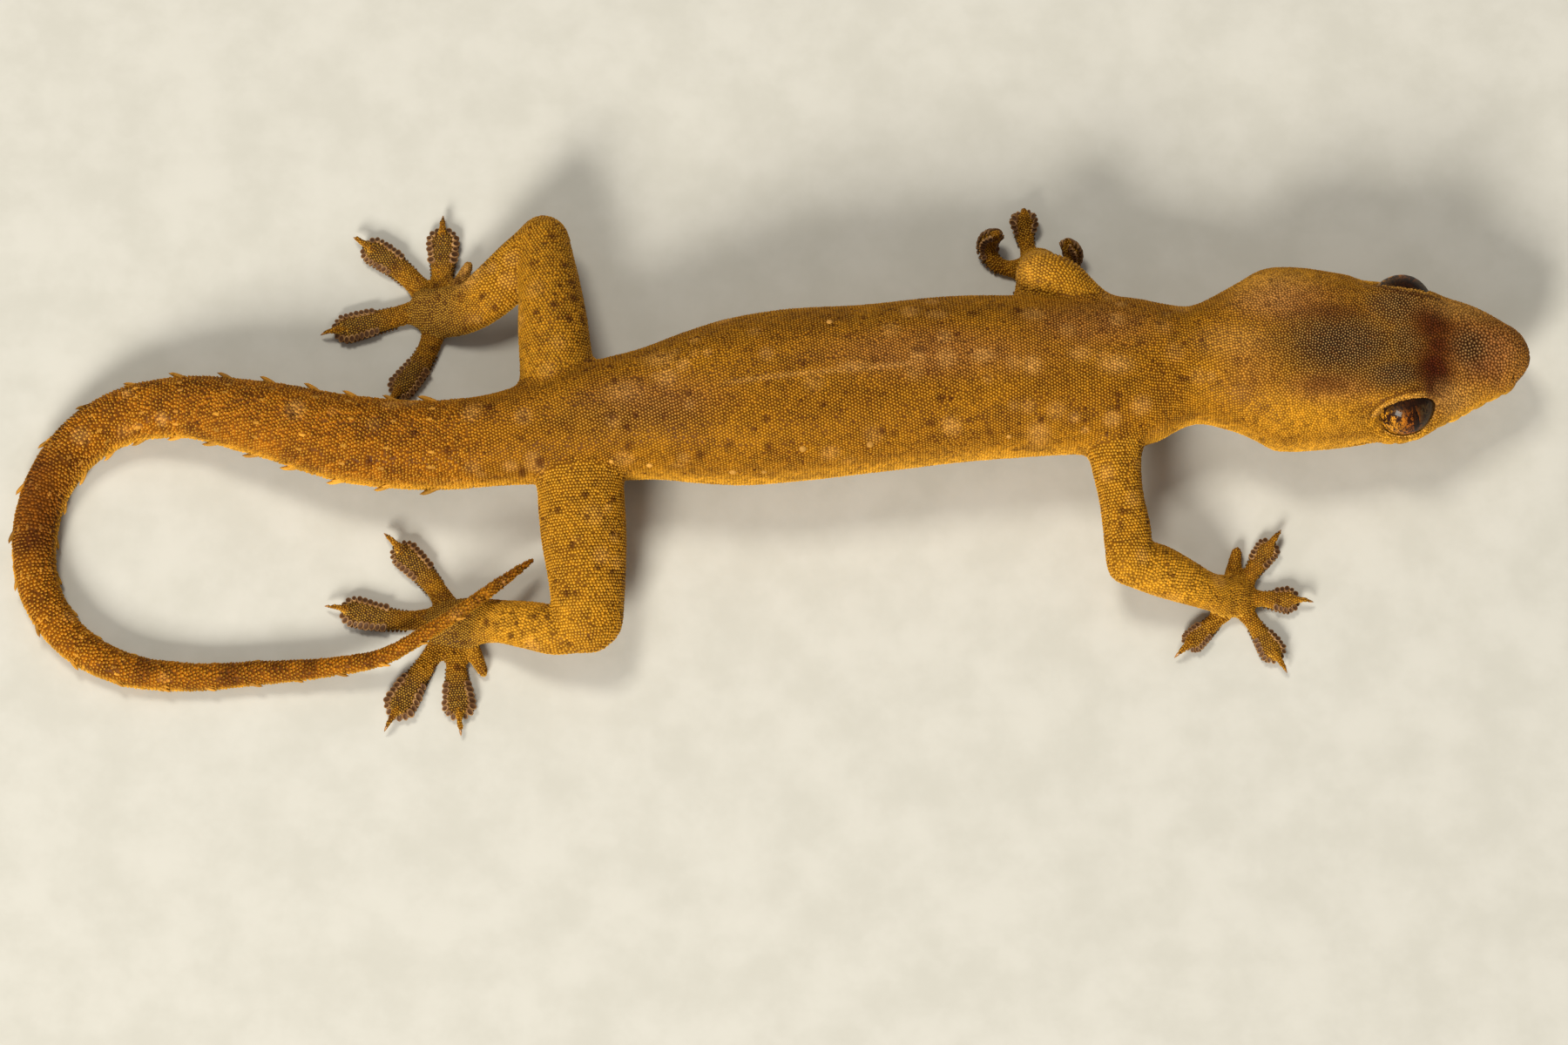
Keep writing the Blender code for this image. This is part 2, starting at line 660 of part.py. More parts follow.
def build_limb(limb, trunk):
    upper_name, lower_name, foot_name = LIMB_NAMES[limb]
    squares = (LIMB_SQUARE, LIMB_SQUARE)
    upper_rows = limb_rows(UPPER_LIMBS[upper_name])
    upper_places = even_places(0, length_of(upper_rows), LIMB_STEP)
    lower_rows = limb_rows(LOWER_LIMBS[limb])
    ankle = ANKLE[limb]
    reach = length_of(lower_rows)

    def upper(grow=0.0):
        ends = {"tips": (False, True), "dome": upper_rows[-1][3]}
        return loft(upper_name, upper_rows, upper_places, LIMB_SIDES, squares, grow, **ends)

    def lower(grow=0.0):
        places = even_places(0, ankle, LIMB_STEP)
        return loft(lower_name, lower_rows, places, LIMB_SIDES, squares, grow)

    thigh = upper()
    apply_boolean(thigh, [trunk()], "DIFFERENCE")
    shin = lower()
    apply_boolean(shin, [upper(GAP), trunk()], "DIFFERENCE")
    palm_places = even_places(ankle + GAP, reach, LIMB_STEP)
    foot = loft(foot_name, lower_rows, palm_places, LIMB_SIDES, squares, tips=(False, True))
    pieces = []
    for number, (points, pad) in enumerate(zip(TOES[limb], PAD_WIDTHS[limb])):
        pieces.append(toe(points, pad, TOE_NECK[limb], number == 0))
        if number:
            pieces.append(claw(points, CLAW_REACH[limb]))
    apply_boolean(foot, pieces, "UNION")
    apply_boolean(foot, [lower(GAP)], "DIFFERENCE")
    return thigh, shin, foot


def material(name, colour, roughness):
    made = bpy.data.materials.new(name)
    made.use_nodes = True
    shader = made.node_tree.nodes["Principled BSDF"]
    shader.inputs["Base Color"].default_value = (*colour, 1.0)
    shader.inputs["Roughness"].default_value = roughness
    shader.inputs["Metallic"].default_value = 0.0
    return made


def finish(thing, look):
    thing.data.materials.clear()
    thing.data.materials.append(look)
    thing.data.shade_smooth()
    thing.data.set_sharp_from_angle(angle=math.radians(40))


def build_gecko():
    back_skin = material("back_skin", (0.50, 0.24, 0.05), 0.6)
    limb_skin = material("limb_skin", (0.42, 0.21, 0.07), 0.6)
    foot_skin = material("foot_skin", (0.30, 0.19, 0.11), 0.65)
    eye_gloss = material("eye_gloss", (0.20, 0.10, 0.02), 0.1)
    gecko = bpy.data.objects.new("gecko", None)
    bpy.context.scene.collection.objects.link(gecko)
    body = [
        build_head(),
        trunk_piece("neck", HEAD_END + GAP, NECK_END, BODY_SIDES, RING_STEP),
        trunk_piece("torso", NECK_END + GAP, TORSO_END, BODY_SIDES, RING_STEP),
        trunk_piece("hips", TORSO_END + GAP, HIPS_END, BODY_SIDES, RING_STEP),
    ] + build_tail()
    for piece in body:
        finish(piece, back_skin)
    eyes = [eye_ball("eye_left", 1), eye_ball("eye_right", -1)]
    for piece in eyes:
        finish(piece, eye_gloss)
    limbs = []

    def trunk():
        first, last = HEAD_END - TRUNK_MARGINS[0], HIPS_END + TRUNK_MARGINS[1]
        return trunk_piece("trunk", first, last, BODY_SIDES, RING_STEP, GAP)

    for limb in LIMB_NAMES:
        thigh, shin, foot = build_limb(limb, trunk)
        finish(thigh, limb_skin)
        finish(shin, limb_skin)
        finish(foot, foot_skin)
        limbs += [thigh, shin, foot]
    for piece in body + eyes + limbs:
        piece.parent = gecko


build_gecko()
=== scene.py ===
import math

import bpy
import numpy as np
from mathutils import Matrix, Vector
from mathutils.bvhtree import BVHTree
from mathutils.kdtree import KDTree


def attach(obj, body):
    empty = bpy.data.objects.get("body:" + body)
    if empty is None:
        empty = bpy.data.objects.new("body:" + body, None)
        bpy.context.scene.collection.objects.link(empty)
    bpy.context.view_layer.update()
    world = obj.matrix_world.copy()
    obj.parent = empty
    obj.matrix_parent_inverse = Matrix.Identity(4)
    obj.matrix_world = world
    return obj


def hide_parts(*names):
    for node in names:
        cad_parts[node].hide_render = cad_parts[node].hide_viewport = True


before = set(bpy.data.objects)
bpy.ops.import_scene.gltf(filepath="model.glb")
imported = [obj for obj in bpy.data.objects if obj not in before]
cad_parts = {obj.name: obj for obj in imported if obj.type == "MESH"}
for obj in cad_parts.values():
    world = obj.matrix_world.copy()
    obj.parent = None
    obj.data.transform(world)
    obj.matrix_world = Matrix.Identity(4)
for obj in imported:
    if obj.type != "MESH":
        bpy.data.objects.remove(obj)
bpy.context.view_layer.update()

# Tables are in millimetres in the gecko's own axes. middle is the point of those axes
# that lies under the middle of the model's box.
gecko = {
    "unit": 0.001, "middle": (-0.97, 2.89, 0.0),
    "voxel": 0.15,  # of the remesh that joins body, limbs and toes
    "coatDepth": 0.07, "toeCoatDepth": 0.04,  # how far the skin lies under the tips of the scales
    "clearance": 0.012,
}

# Spine from the snout to the tip of the tail: x, y, half width, underside, back
spineTable = (
    (41.30, 8.28, 0.62, 2.70, 3.85),
    (40.75, 8.40, 1.46, 2.22, 4.60),
    (39.60, 8.52, 2.20, 1.90, 5.15),
    (37.70, 8.58, 3.16, 1.60, 5.80),
    (35.70, 8.42, 3.84, 1.45, 6.45),
    (33.70, 8.32, 4.30, 1.40, 6.90),
    (31.80, 8.30, 4.75, 1.40, 7.10),
    (29.90, 8.34, 5.05, 1.40, 7.20),
    (28.00, 8.40, 5.22, 1.40, 7.20),
    (26.90, 8.38, 5.15, 1.40, 7.15),
    (25.60, 8.30, 4.45, 1.40, 7.05),
    (24.20, 8.18, 3.76, 1.35, 6.90),
    (22.60, 8.04, 3.28, 1.30, 6.80),
    (21.30, 7.92, 3.60, 1.20, 6.90),
    (20.20, 7.78, 4.06, 1.10, 7.05),
    (18.40, 7.56, 4.34, 1.00, 7.30),
    (14.50, 7.42, 4.46, 0.80, 7.70),
    (9.60, 7.20, 4.62, 0.70, 8.00),
    (4.80, 6.66, 4.66, 0.60, 8.10),
    (0.00, 6.22, 4.78, 0.60, 8.10),
    (-2.80, 5.86, 4.62, 0.60, 8.00),
    (-5.20, 5.54, 4.17, 0.70, 7.75),
    (-7.40, 5.24, 3.64, 0.85, 7.40),
    (-10.00, 4.85, 3.36, 1.00, 7.05),
    (-13.00, 4.30, 2.95, 1.20, 6.70),
    (-15.60, 3.88, 2.56, 1.25, 6.20),
    (-19.20, 3.59, 2.46, 1.20, 5.70),
    (-24.00, 4.01, 2.42, 1.15, 5.20),
    (-29.00, 5.31, 2.08, 1.00, 4.50),
    (-33.90, 6.17, 1.68, 0.45, 3.45),
    (-37.00, 5.70, 1.54, -0.10, 2.85),
    (-39.40, 4.12, 1.42, -0.25, 2.50),
    (-40.90, 1.90, 1.31, -0.25, 2.30),
    (-41.60, -1.00, 1.24, -0.25, 2.15),
    (-41.20, -4.20, 1.15, -0.20, 2.00),
    (-39.50, -6.80, 1.05, -0.20, 1.85),
    (-36.60, -8.50, 0.93, -0.20, 1.65),
    (-33.00, -9.00, 0.80, -0.10, 1.50),
    (-28.90, -8.80, 0.68, 0.15, 1.45),
    (-25.00, -8.55, 0.56, 0.60, 1.70),
    (-22.00, -8.10, 0.50, 1.30, 2.30),
    (-19.60, -6.90, 0.46, 2.05, 2.95),
    (-17.30, -5.40, 0.42, 2.30, 3.10),
    (-15.40, -3.85, 0.36, 1.90, 2.60),
    (-13.85, -2.50, 0.20, 1.35, 1.75),
)

# Places are distances from the snout along the spine
trunk = {
    "headEnd": 16.2, "vent": 57.0, "mouthCorner": 12.6,
    "headLift": 0.33, "bodyLift": 0.43,  # share of the height at which a section is widest
    "headSquare": 2.5, "backSquare": 2.2, "bellySquare": 2.7,  # 2 is an ellipse, more is boxier
    "blendFrom": 12.2, "blendTo": 17.0,
    "headFrom": 21.3,  # x: the head lies ahead of it
}

# Limbs from the body outwards: x, y, z, half width, half height
upperLimbs = {
    "left hind": (
        (-12.5, 5.4, 4.0, 2.00, 1.90),
        (-12.6, 7.6, 3.9, 2.10, 1.95),
        (-12.8, 10.0, 3.8, 2.00, 1.90),
        (-13.05, 12.6, 3.5, 1.76, 1.70),
        (-13.35, 14.9, 3.1, 1.54, 1.50),
        (-13.55, 17.0, 2.8, 1.42, 1.38),
    ),
    "right hind": (
        (-11.4, 3.4, 4.0, 2.20, 1.90),
        (-11.2, 0.7, 3.9, 2.46, 1.95),
        (-11.05, -1.4, 3.7, 2.42, 1.95),
        (-10.85, -3.8, 3.4, 2.20, 1.80),
        (-10.75, -6.0, 3.0, 1.98, 1.60),
        (-10.55, -8.2, 2.6, 1.74, 1.45),
    ),
    "left fore": (
        (19.2, 9.0, 4.2, 1.50, 1.50),
        (18.0, 10.2, 4.5, 1.40, 1.45),
        (16.6, 11.4, 4.8, 1.30, 1.36),
        (15.2, 12.6, 5.0, 1.34, 1.34),
        (12.75, 13.0, 4.9, 1.32, 1.32),
    ),
    "right fore": (
        (18.4, 5.2, 4.2, 1.50, 1.50),
        (18.3, 2.8, 4.0, 1.54, 1.45),
        (18.6, 0.5, 3.7, 1.30, 1.35),
        (18.95, -1.7, 3.3, 1.36, 1.25),
        (18.9, -4.4, 2.9, 1.20, 1.20),
    ),
}
lowerLimbs = {
    "left hind": (
        (-12.9, 16.2, 2.9, 1.30, 1.20),
        (-14.7, 14.3, 2.5, 1.54, 1.35),
        (-16.1, 13.0, 2.1, 1.54, 1.25),
        (-17.5, 12.1, 1.5, 1.44, 1.00),
        (-19.2, 12.0, 0.8, 1.46, 0.80),
        (-21.0, 12.4, 0.4, 0.95, 0.50),
    ),
    "right hind": (
        (-10.5, -6.6, 2.8, 1.25, 1.15),
        (-12.2, -6.8, 2.4, 1.42, 1.30),
        (-14.0, -6.4, 2.0, 1.36, 1.15),
        (-15.7, -6.0, 1.3, 1.26, 0.90),
        (-17.9, -5.9, 0.7, 1.42, 0.66),
        (-19.8, -6.2, 0.4, 0.95, 0.50),
    ),
    "left fore": (
        (13.9, 12.6, 5.1, 1.00, 1.00),
        (14.1, 13.4, 3.8, 1.20, 1.20),
        (14.2, 14.0, 2.5, 1.12, 1.12),
        (14.3, 14.5, 1.3, 1.15, 1.00),
        (14.3, 15.6, 0.5, 1.00, 0.60),
    ),
    "right fore": (
        (18.2, -3.0, 3.0, 1.10, 1.10),
        (20.3, -3.3, 2.5, 1.50, 1.25),
        (22.2, -3.9, 1.9, 1.28, 1.05),
        (23.6, -4.3, 1.2, 1.10, 0.85),
        (24.8, -4.4, 0.7, 1.16, 0.66),
        (25.9, -4.5, 0.4, 0.85, 0.50),
    ),
}
ankles = {"left hind": 6.4, "right hind": 6.4, "left fore": 3.6, "right fore": 5.9}
limbSquare = 2.1
farOff = 99.0  # the ankle of what has none

# Toes from the palm to the end of the pad, first toe first
toeTable = {
    "left hind": (
        ((-18.8, 12.4), (-18.2, 13.7, 0.7), (-17.6, 14.9, 0.9)),
        ((-19.3, 12.7), (-19.2, 14.4), (-19.2, 16.9)),
        ((-20.0, 13.0), (-21.5, 14.6), (-23.5, 16.0)),
        ((-20.1, 12.3), (-22.0, 11.8), (-25.1, 11.0)),
        ((-19.5, 11.4), (-20.1, 9.6), (-21.7, 7.3)),
    ),
    "right hind": (
        ((-17.6, -6.7), (-17.0, -7.9), (-16.5, -8.9)),
        ((-18.2, -6.9), (-18.1, -8.8), (-17.9, -11.2)),
        ((-18.8, -6.8), (-20.0, -8.5), (-21.5, -11.1)),
        ((-19.0, -5.6), (-21.2, -5.7), (-24.4, -5.1)),
        ((-18.5, -5.2), (-19.6, -3.5), (-21.5, -1.5)),
    ),
    "left fore": (
        ((15.2, 14.3), (16.3, 13.5), (17.0, 13.0)),
        ((15.1, 14.7), (16.0, 14.9), (16.2, 15.4, 1.0), (15.8, 15.8, 1.7)),
        ((13.9, 15.2), (13.6, 16.4), (13.5, 17.2, 0.6), (13.5, 17.75, 1.15)),
        ((13.6, 14.7), (12.4, 14.7), (11.5, 15.5, 0.5), (11.5, 16.1, 1.2), (12.0, 16.2, 1.9)),
        ((13.6, 14.0), (13.3, 12.9), (13.2, 11.8)),
    ),
    "right fore": (
        ((24.8, -3.8), (25.0, -2.6), (25.2, -1.5)),
        ((25.4, -3.9), (26.2, -2.6), (27.1, -1.3)),
        ((25.7, -4.4), (26.9, -4.5), (28.4, -4.6)),
        ((25.4, -5.0), (26.3, -6.3), (27.3, -7.9)),
        ((24.5, -5.1), (23.6, -6.0), (22.3, -7.2)),
    ),
}
padWidths = {
    "left hind": (0.45, 0.86, 0.76, 0.78, 0.74),
    "right hind": (0.45, 0.86, 0.86, 0.82, 0.76),
    "left fore": (0.4, 0.6, 0.74, 0.6, 0.6),
    "right fore": (0.4, 0.66, 0.72, 0.72, 0.64),
}
clawReach = {"left hind": 0.9, "right hind": 1.1, "left fore": 0.2, "right fore": 0.95}
toe = {
    "z": 0.3, "height": 0.42, "square": 2.5, "joint": 0.24, "round": 0.75,
    "neck": {"left hind": 0.62, "right hind": 0.58, "left fore": 0.46, "right fore": 0.46},
}
thumb = {"base": 0.6, "end": 0.26}  # the first toe has no pad and tapers

# The eyes turn up, forward and, as the head is held, a little to its right. lid is the edge of the
# opening: degrees round the eye from its front corner over its top, and degrees off the way it looks
eye = {
    "place": 7.2, "across": 2.69, "z": 4.7, "radius": 1.85,
    "up": {1: math.radians(17), -1: math.radians(33)}, "forward": math.radians(17),
    "slant": math.radians(8), "rim": 0.13,
    "leftMore": 12, "leftTurn": math.radians(120),  # the left eye is open wider above and behind
    "lid": ((-180, 67), (-165, 63), (-150, 58), (-120, 53), (-90, 50), (-60, 48), (-30, 46), (-15, 50),
            (0, 59), (20, 54), (45, 48), (70, 44), (100, 45), (127, 50), (150, 59), (180, 67)),
}


# Curves and sections

def smoothStep(first, last, value):
    share = np.clip((np.asarray(value, float) - first) / (last - first), 0, 1)
    return share * share * (3 - 2 * share)


def rowsAt(table, places):
    # rows read at the given distances along a smooth curve through the listed ones
    table = np.array(table, float)
    steps = np.linalg.norm(np.diff(table[:, :3], axis=0), axis=1)
    knots = np.concatenate([[0.0], np.cumsum(steps)])
    secants = np.diff(table, axis=0) / steps[:, None]
    slopes = np.vstack([secants[:1], secants])
    before, after = steps[:-1, None], steps[1:, None]
    slopes[1:-1] = (secants[:-1] * after + secants[1:] * before) / (before + after)
    places = np.asarray(places, float)
    k = np.clip(np.searchsorted(knots, places) - 1, 0, len(steps) - 1)
    t = ((places - knots[k]) / steps[k])[:, None]
    reach = steps[k][:, None]
    return (
        (2 * t**3 - 3 * t**2 + 1) * table[k] + (t**3 - 2 * t**2 + t) * reach * slopes[k]
        + (3 * t**2 - 2 * t**3) * table[k + 1] + (t**3 - t**2) * reach * slopes[k + 1]
    )


def pointsAt(places, knots, points):
    return np.stack([np.interp(places, knots, points[:, axis]) for axis in range(3)], axis=-1)


def lengthOf(table):
    points = np.array([row[:3] for row in table], float)
    return float(np.linalg.norm(np.diff(points, axis=0), axis=1).sum())


def signedPower(value, power):
    return np.sign(value) * np.abs(value) ** power


def unit(vectors):
    vectors = np.asarray(vectors, float)
    return vectors / np.maximum(np.linalg.norm(vectors, axis=-1, keepdims=True), 1e-9)


def spineRows():
    lift = trunk["bodyLift"]
    return [(x, y, under + lift * (back - under), across, under, back)
            for x, y, across, under, back in spineTable]


spineLength = lengthOf(spineRows())


def trunkFrames(places):
    # centre, side and size of the body's sections; the side is level and square to the spine
    found = rowsAt(spineRows(), places)
    near = 0.15
    places = np.asarray(places)
    ahead = rowsAt(spineRows(), places + near) - rowsAt(spineRows(), places - near)
    along = unit(np.stack([ahead[:, 0], ahead[:, 1], np.zeros(len(found))], axis=1))
    side = np.stack([-along[:, 1], along[:, 0], np.zeros(len(found))], axis=1)
    blend = smoothStep(trunk["blendFrom"], trunk["blendTo"], places)
    lift = trunk["headLift"] + (trunk["bodyLift"] - trunk["headLift"]) * blend
    square = trunk["headSquare"] + (trunk["backSquare"] - trunk["headSquare"]) * blend
    under, back = found[:, 4], found[:, 5]
    middle = under + lift * (back - under)
    centre = np.stack([found[:, 0], found[:, 1], middle], axis=1)
    return {
        "centre": centre, "side": side, "up": np.tile((0.0, 0.0, 1.0), (len(found), 1)),
        "along": along, "across": found[:, 3], "rise": back - middle, "fall": middle - under,
        "topSquare": square, "lowSquare": np.full(len(found), trunk["bellySquare"]),
    }


def limbFrames(surface, places):
    # the side is carried along a limb without twist
    fine = np.linspace(0, surface["length"], 61)
    rows = rowsAt(surface["rows"], fine)
    ahead = unit(np.gradient(rows[:, :3], axis=0))
    side = np.cross((0, 0, 1), ahead[0])
    sides = []
    for way in ahead:
        side = unit(side - way * side.dot(way))
        sides.append(side)
    along, side = unit(pointsAt(places, fine, ahead)), unit(pointsAt(places, fine, np.array(sides)))
    found = rowsAt(surface["rows"], places)
    rim = surface["length"] - surface["dome"]
    past = ((np.asarray(places) - rim) / surface["dome"]).clip(0, 1)
    roundOff = np.sqrt(np.clip(1 - past**2, 0.0004, 1))
    height = found[:, 4] * roundOff
    squares = np.full(len(found), surface["square"])
    return {
        "centre": found[:, :3], "side": side, "up": np.cross(along, side), "along": along,
        "across": found[:, 3] * roundOff, "rise": height, "fall": height,
        "topSquare": squares, "lowSquare": squares,
    }


def ringsOf(surface, places, turns, inset):
    # points of each section at the given turns: 0 is its side and a quarter turn its top
    frames = trunkFrames(places) if surface["zone"] == "trunk" else limbFrames(surface, places)
    sizes = [frames[key] for key in ("across", "rise", "fall")]
    across, rise, fall = [np.maximum(size - inset, 0.35 * size) for size in sizes]
    sine, cosine = np.sin(turns), np.cos(turns)
    onTop = (sine > 0)[None]
    power = np.where(onTop, 2 / frames["topSquare"][:, None], 2 / frames["lowSquare"][:, None])
    height = np.where(onTop, rise[:, None], fall[:, None]) * signedPower(sine[None], power)
    width = across[:, None] * signedPower(cosine[None], power)
    points = frames["centre"][:, None] + width[..., None] * frames["side"][:, None]
    points = points + height[..., None] * frames["up"][:, None]
    floor = gecko["clearance"] + inset
    points[..., 2] = np.maximum(points[..., 2], floor)
    return points, frames


def withHeight(points):
    # toe points without a height lie on the floor
    return np.array([point if len(point) == 3 else (*point, toe["z"]) for point in points], float)


def toeRows(points, pad, neck, isThumb):
    points = withHeight(points)
    total = lengthOf(points)
    shares = (0.0, 0.35, 0.62, 0.85, 0.97, 1.0)
    if isThumb:
        widths = [thumb["base"] + (thumb["end"] - thumb["base"]) * share for share in shares]
    else:
        widths = (neck + 0.14, neck, 0.5 * (neck + pad), pad, pad, pad)
    base = rowsAt(points, [share * total for share in shares])
    heights = [toe["height"] * (0.9 if width == pad else 1.0) for width in widths]
    return [(*row, width, height) for row, width, height in zip(base, widths, heights)]


def jointRows(points, reach):
    # the free last joint of a toe rises off the pad and tapers into the claw
    before, end = withHeight(points)[-2:]
    way, up, thick = unit(end - before), np.array((0.0, 0.0, 1.0)), toe["joint"]
    path = (
        (end - way * 0.9 + up * 0.1, thick),
        (end - way * 0.1 + up * 0.36, thick),
        (end + way * 0.55 * reach + up * 0.32, 0.84 * thick),
        (end + way * 0.85 * reach + up * 0.2, 0.7 * thick),
    )
    return [(*point, size, size) for point, size in path]


def makeSurfaces():
    # the trunk, then each length of limb, toe and free toe joint; dome is the round of its end
    found = [{"zone": "trunk", "limb": "", "length": spineLength, "ankle": farOff, "isThumb": False}]

    def add(zone, limb, rows, square, dome, ankle=farOff, pad=0.0, isThumb=False):
        found.append({"zone": zone, "limb": limb, "rows": rows, "length": lengthOf(rows), "square": square,
                      "dome": dome, "ankle": ankle, "pad": pad, "isThumb": isThumb})

    for limb, table in upperLimbs.items():
        add("limb", limb, table, limbSquare, table[-1][3])
        add("limb", limb, lowerLimbs[limb], limbSquare, 0.5, ankles[limb])
        for number, (points, pad) in enumerate(zip(toeTable[limb], padWidths[limb])):
            isThumb = number == 0
            rows = toeRows(points, pad, toe["neck"][limb], isThumb)
            dome = 0.25 if isThumb else toe["round"] * pad
            add("toe", limb, rows, toe["square"], dome, pad=pad, isThumb=isThumb)
            if not isThumb:
                add("joint", limb, jointRows(points, clawReach[limb]), 2.0, 0.12)
    return found


def eyeFrame(sign):
    # centre of an eye, the way it looks, forward across it and the third direction
    frames = trunkFrames([eye["place"]])
    centre = frames["centre"][0].copy()
    centre[1] += sign * eye["across"]
    centre[2] = eye["z"]
    level = math.cos(eye["up"][sign])
    looks = np.array((math.sin(eye["forward"]) * level, sign * math.cos(eye["forward"]) * level,
                      math.sin(eye["up"][sign])))
    along = unit(np.array((1.0, 0, 0)) - looks * looks[0])
    other = np.cross(looks, along)
    turn = eye["slant"] * (1 if other[2] > 0 else -1)
    sine, cosine = math.sin(turn), math.cos(turn)
    return centre, looks, along * cosine + other * sine, other * cosine - along * sine


def lidOpening(turns, other):
    # angle from the way the eye looks to the lid's edge, at turns from the front corner
    isRight = other[2] > 0
    turns = turns * (1 if isRight else -1)
    found = np.interp((np.degrees(turns) + 180) % 360 - 180, *zip(*eye["lid"]))
    more = 0 if isRight else eye["leftMore"]
    return np.radians(found + more * np.clip(np.cos(turns - eye["leftTurn"]), 0, 1))


def lidPlane(points, socket):
    # seen the way the eye looks: distance outside the lid's edge, distance from the middle, height,
    # height of the edge, and the turn from the front corner
    centre, looks, along, other = socket
    away = points - centre
    right, up, height = away @ along, away @ other, away @ looks
    turns = np.arctan2(up, right)
    opening = lidOpening(turns, other)
    edge = eye["radius"] + eye["rim"]
    apart = np.hypot(right, up)
    return apart - edge * np.sin(opening), apart, height, edge * np.cos(opening), turns


# Meshes

def tubeFaces(count, sides):
    # triangles between equal rings
    faces = []
    for level in range(count - 1):
        for k in range(sides):
            a, b = level * sides + k, level * sides + (k + 1) % sides
            faces += [(a, b, b + sides), (a, b + sides, a + sides)]
    return faces


def tipFaces(count, sides):
    # triangles from the last ring to the one point that follows it
    first = (count - 1) * sides
    return [(first + k, first + (k + 1) % sides, count * sides) for k in range(sides)]


def closeRings(rings):
    # points and faces of a closed tube over equal rings
    count, sides = rings.shape[:2]
    k, j = np.meshgrid(np.arange(count - 1), np.arange(sides), indexing="ij")
    a = (k * sides + j).ravel()
    b = (k * sides + (j + 1) % sides).ravel()
    faces = [tuple(face) for face in np.stack([a, b, b + sides, a + sides], axis=1).tolist()]
    faces.append(tuple(range(sides))[::-1])
    faces.append(tuple(range((count - 1) * sides, count * sides)))
    return rings.reshape(-1, 3), faces


def toModel(points):
    return (np.asarray(points, float) - np.array(gecko["middle"])) * gecko["unit"]


def addThing(name, data):
    thing = bpy.data.objects.new(name, data)
    bpy.context.scene.collection.objects.link(thing)
    return thing


def makeMesh(name, points, triangles):
    mesh = bpy.data.meshes.new(name)
    triangles = np.asarray(triangles, np.int32)
    starts = np.arange(0, triangles.size, 3, dtype=np.int32)
    mesh.vertices.add(len(points))
    mesh.vertices.foreach_set("co", np.asarray(toModel(points), np.float32).ravel())
    mesh.loops.add(triangles.size)
    mesh.loops.foreach_set("vertex_index", triangles.ravel())
    mesh.polygons.add(len(triangles))
    mesh.polygons.foreach_set("loop_start", starts)
    mesh.update(calc_edges=True)
    mesh.shade_smooth()
    return addThing(name, mesh)


def setAttribute(thing, name, values, kind="FLOAT_VECTOR"):
    field = "vector" if kind == "FLOAT_VECTOR" else "value"
    attribute = thing.data.attributes.new(name, kind, "POINT")
    attribute.data.foreach_set(field, np.asarray(values, np.float32).ravel())


def meshArrays(mesh):
    points = np.zeros(len(mesh.vertices) * 3, np.float32)
    mesh.vertices.foreach_get("co", points)
    mesh.calc_loop_triangles()
    triangles = np.zeros(len(mesh.loop_triangles) * 3, np.int32)
    mesh.loop_triangles.foreach_get("vertices", triangles)
    return points.reshape(-1, 3).astype(float), triangles.reshape(-1, 3)


def kdOf(points):
    tree = KDTree(len(points))
    for k, point in enumerate(points):
        tree.insert(point, k)
    tree.balance()
    return tree


def vertexNormals(points, triangles):
    a, b, c = (points[triangles[:, k]] for k in range(3))
    flat = np.cross(b - a, c - a)
    normals = np.zeros_like(points)
    for k in range(3):
        for axis in range(3):
            normals[:, axis] += np.bincount(triangles[:, k], flat[:, axis], len(points))
    return unit(normals)


def relax(points, triangles, weight, rounds):
    # evens out the skin where the weight is more than nothing
    pairs = np.vstack([triangles[:, (0, 1)], triangles[:, (1, 2)], triangles[:, (2, 0)]])
    pairs = np.unique(np.sort(pairs, axis=1), axis=0)
    count = np.bincount(pairs.ravel(), minlength=len(points)).clip(1)
    for _ in range(rounds):
        total = np.zeros_like(points)
        for axis in range(3):
            total[:, axis] = np.bincount(pairs[:, 0], points[pairs[:, 1], axis], len(points))
            total[:, axis] += np.bincount(pairs[:, 1], points[pairs[:, 0], axis], len(points))
        points = points + (total / count[:, None] - points) * (0.6 * weight[:, None])
    return points


# Skin: one closed surface over body, limbs, toes and eye rims

skin = {
    "tubes": {  # step along it, sides and depth under the tips of the scales
        "trunk": (0.3, 72, gecko["coatDepth"]), "limb": (0.25, 32, gecko["coatDepth"]),
        "toe": (0.12, 20, gecko["toeCoatDepth"]), "joint": (0.12, 20, gecko["toeCoatDepth"]),
    },
    "even": (0.9, 3), "roots": (2.6, 36), "knees": (2.0, 26),  # weight or reach, and rounds
    "mouthLevel": (3.2, 1.4), "mouthDepth": 0.16, "mouthWidth": 0.11, "mouthFade": 1.2,
    "nostril": (0.95, 1.0, 4.1, 0.26),  # place, distance off the middle, height, radius
    "ear": (15.2, 3.7, 0.36, 0.6),  # place, height, radius along the body and upwards
    "pitDepth": 0.5, "pitRadius": 0.42,
    "lidEdge": 0.1, "lidDepth": 0.5, "lidBlend": 1.5, "lidOver": 0.1, "lidSoft": 0.16,
}


def sockets():
    return [eyeFrame(sign) for sign in (1, -1)]


def pitCentres():
    # nostrils and ears: place, radius along the body and radius upwards
    place, across, z, radius = skin["nostril"]
    earPlace, earZ, earAlong, earUp = skin["ear"]
    nose, ear = trunkFrames([place])["centre"][0], trunkFrames([earPlace])
    found = []
    for sign in (1, -1):
        found.append((np.array((nose[0], nose[1] + sign * across, z)), radius, radius))
        out = ear["centre"][0] + ear["side"][0] * ear["across"][0] * sign
        found.append((np.array((out[0], out[1], earZ)), earAlong, earUp))
    return found


def offPit(points, pit, deep):
    # distance from a pit's middle in shares of its radii; deep is its reach inwards
    centre, wide, tall = pit
    return np.linalg.norm((points - centre) / (wide, deep * wide, tall), axis=1)


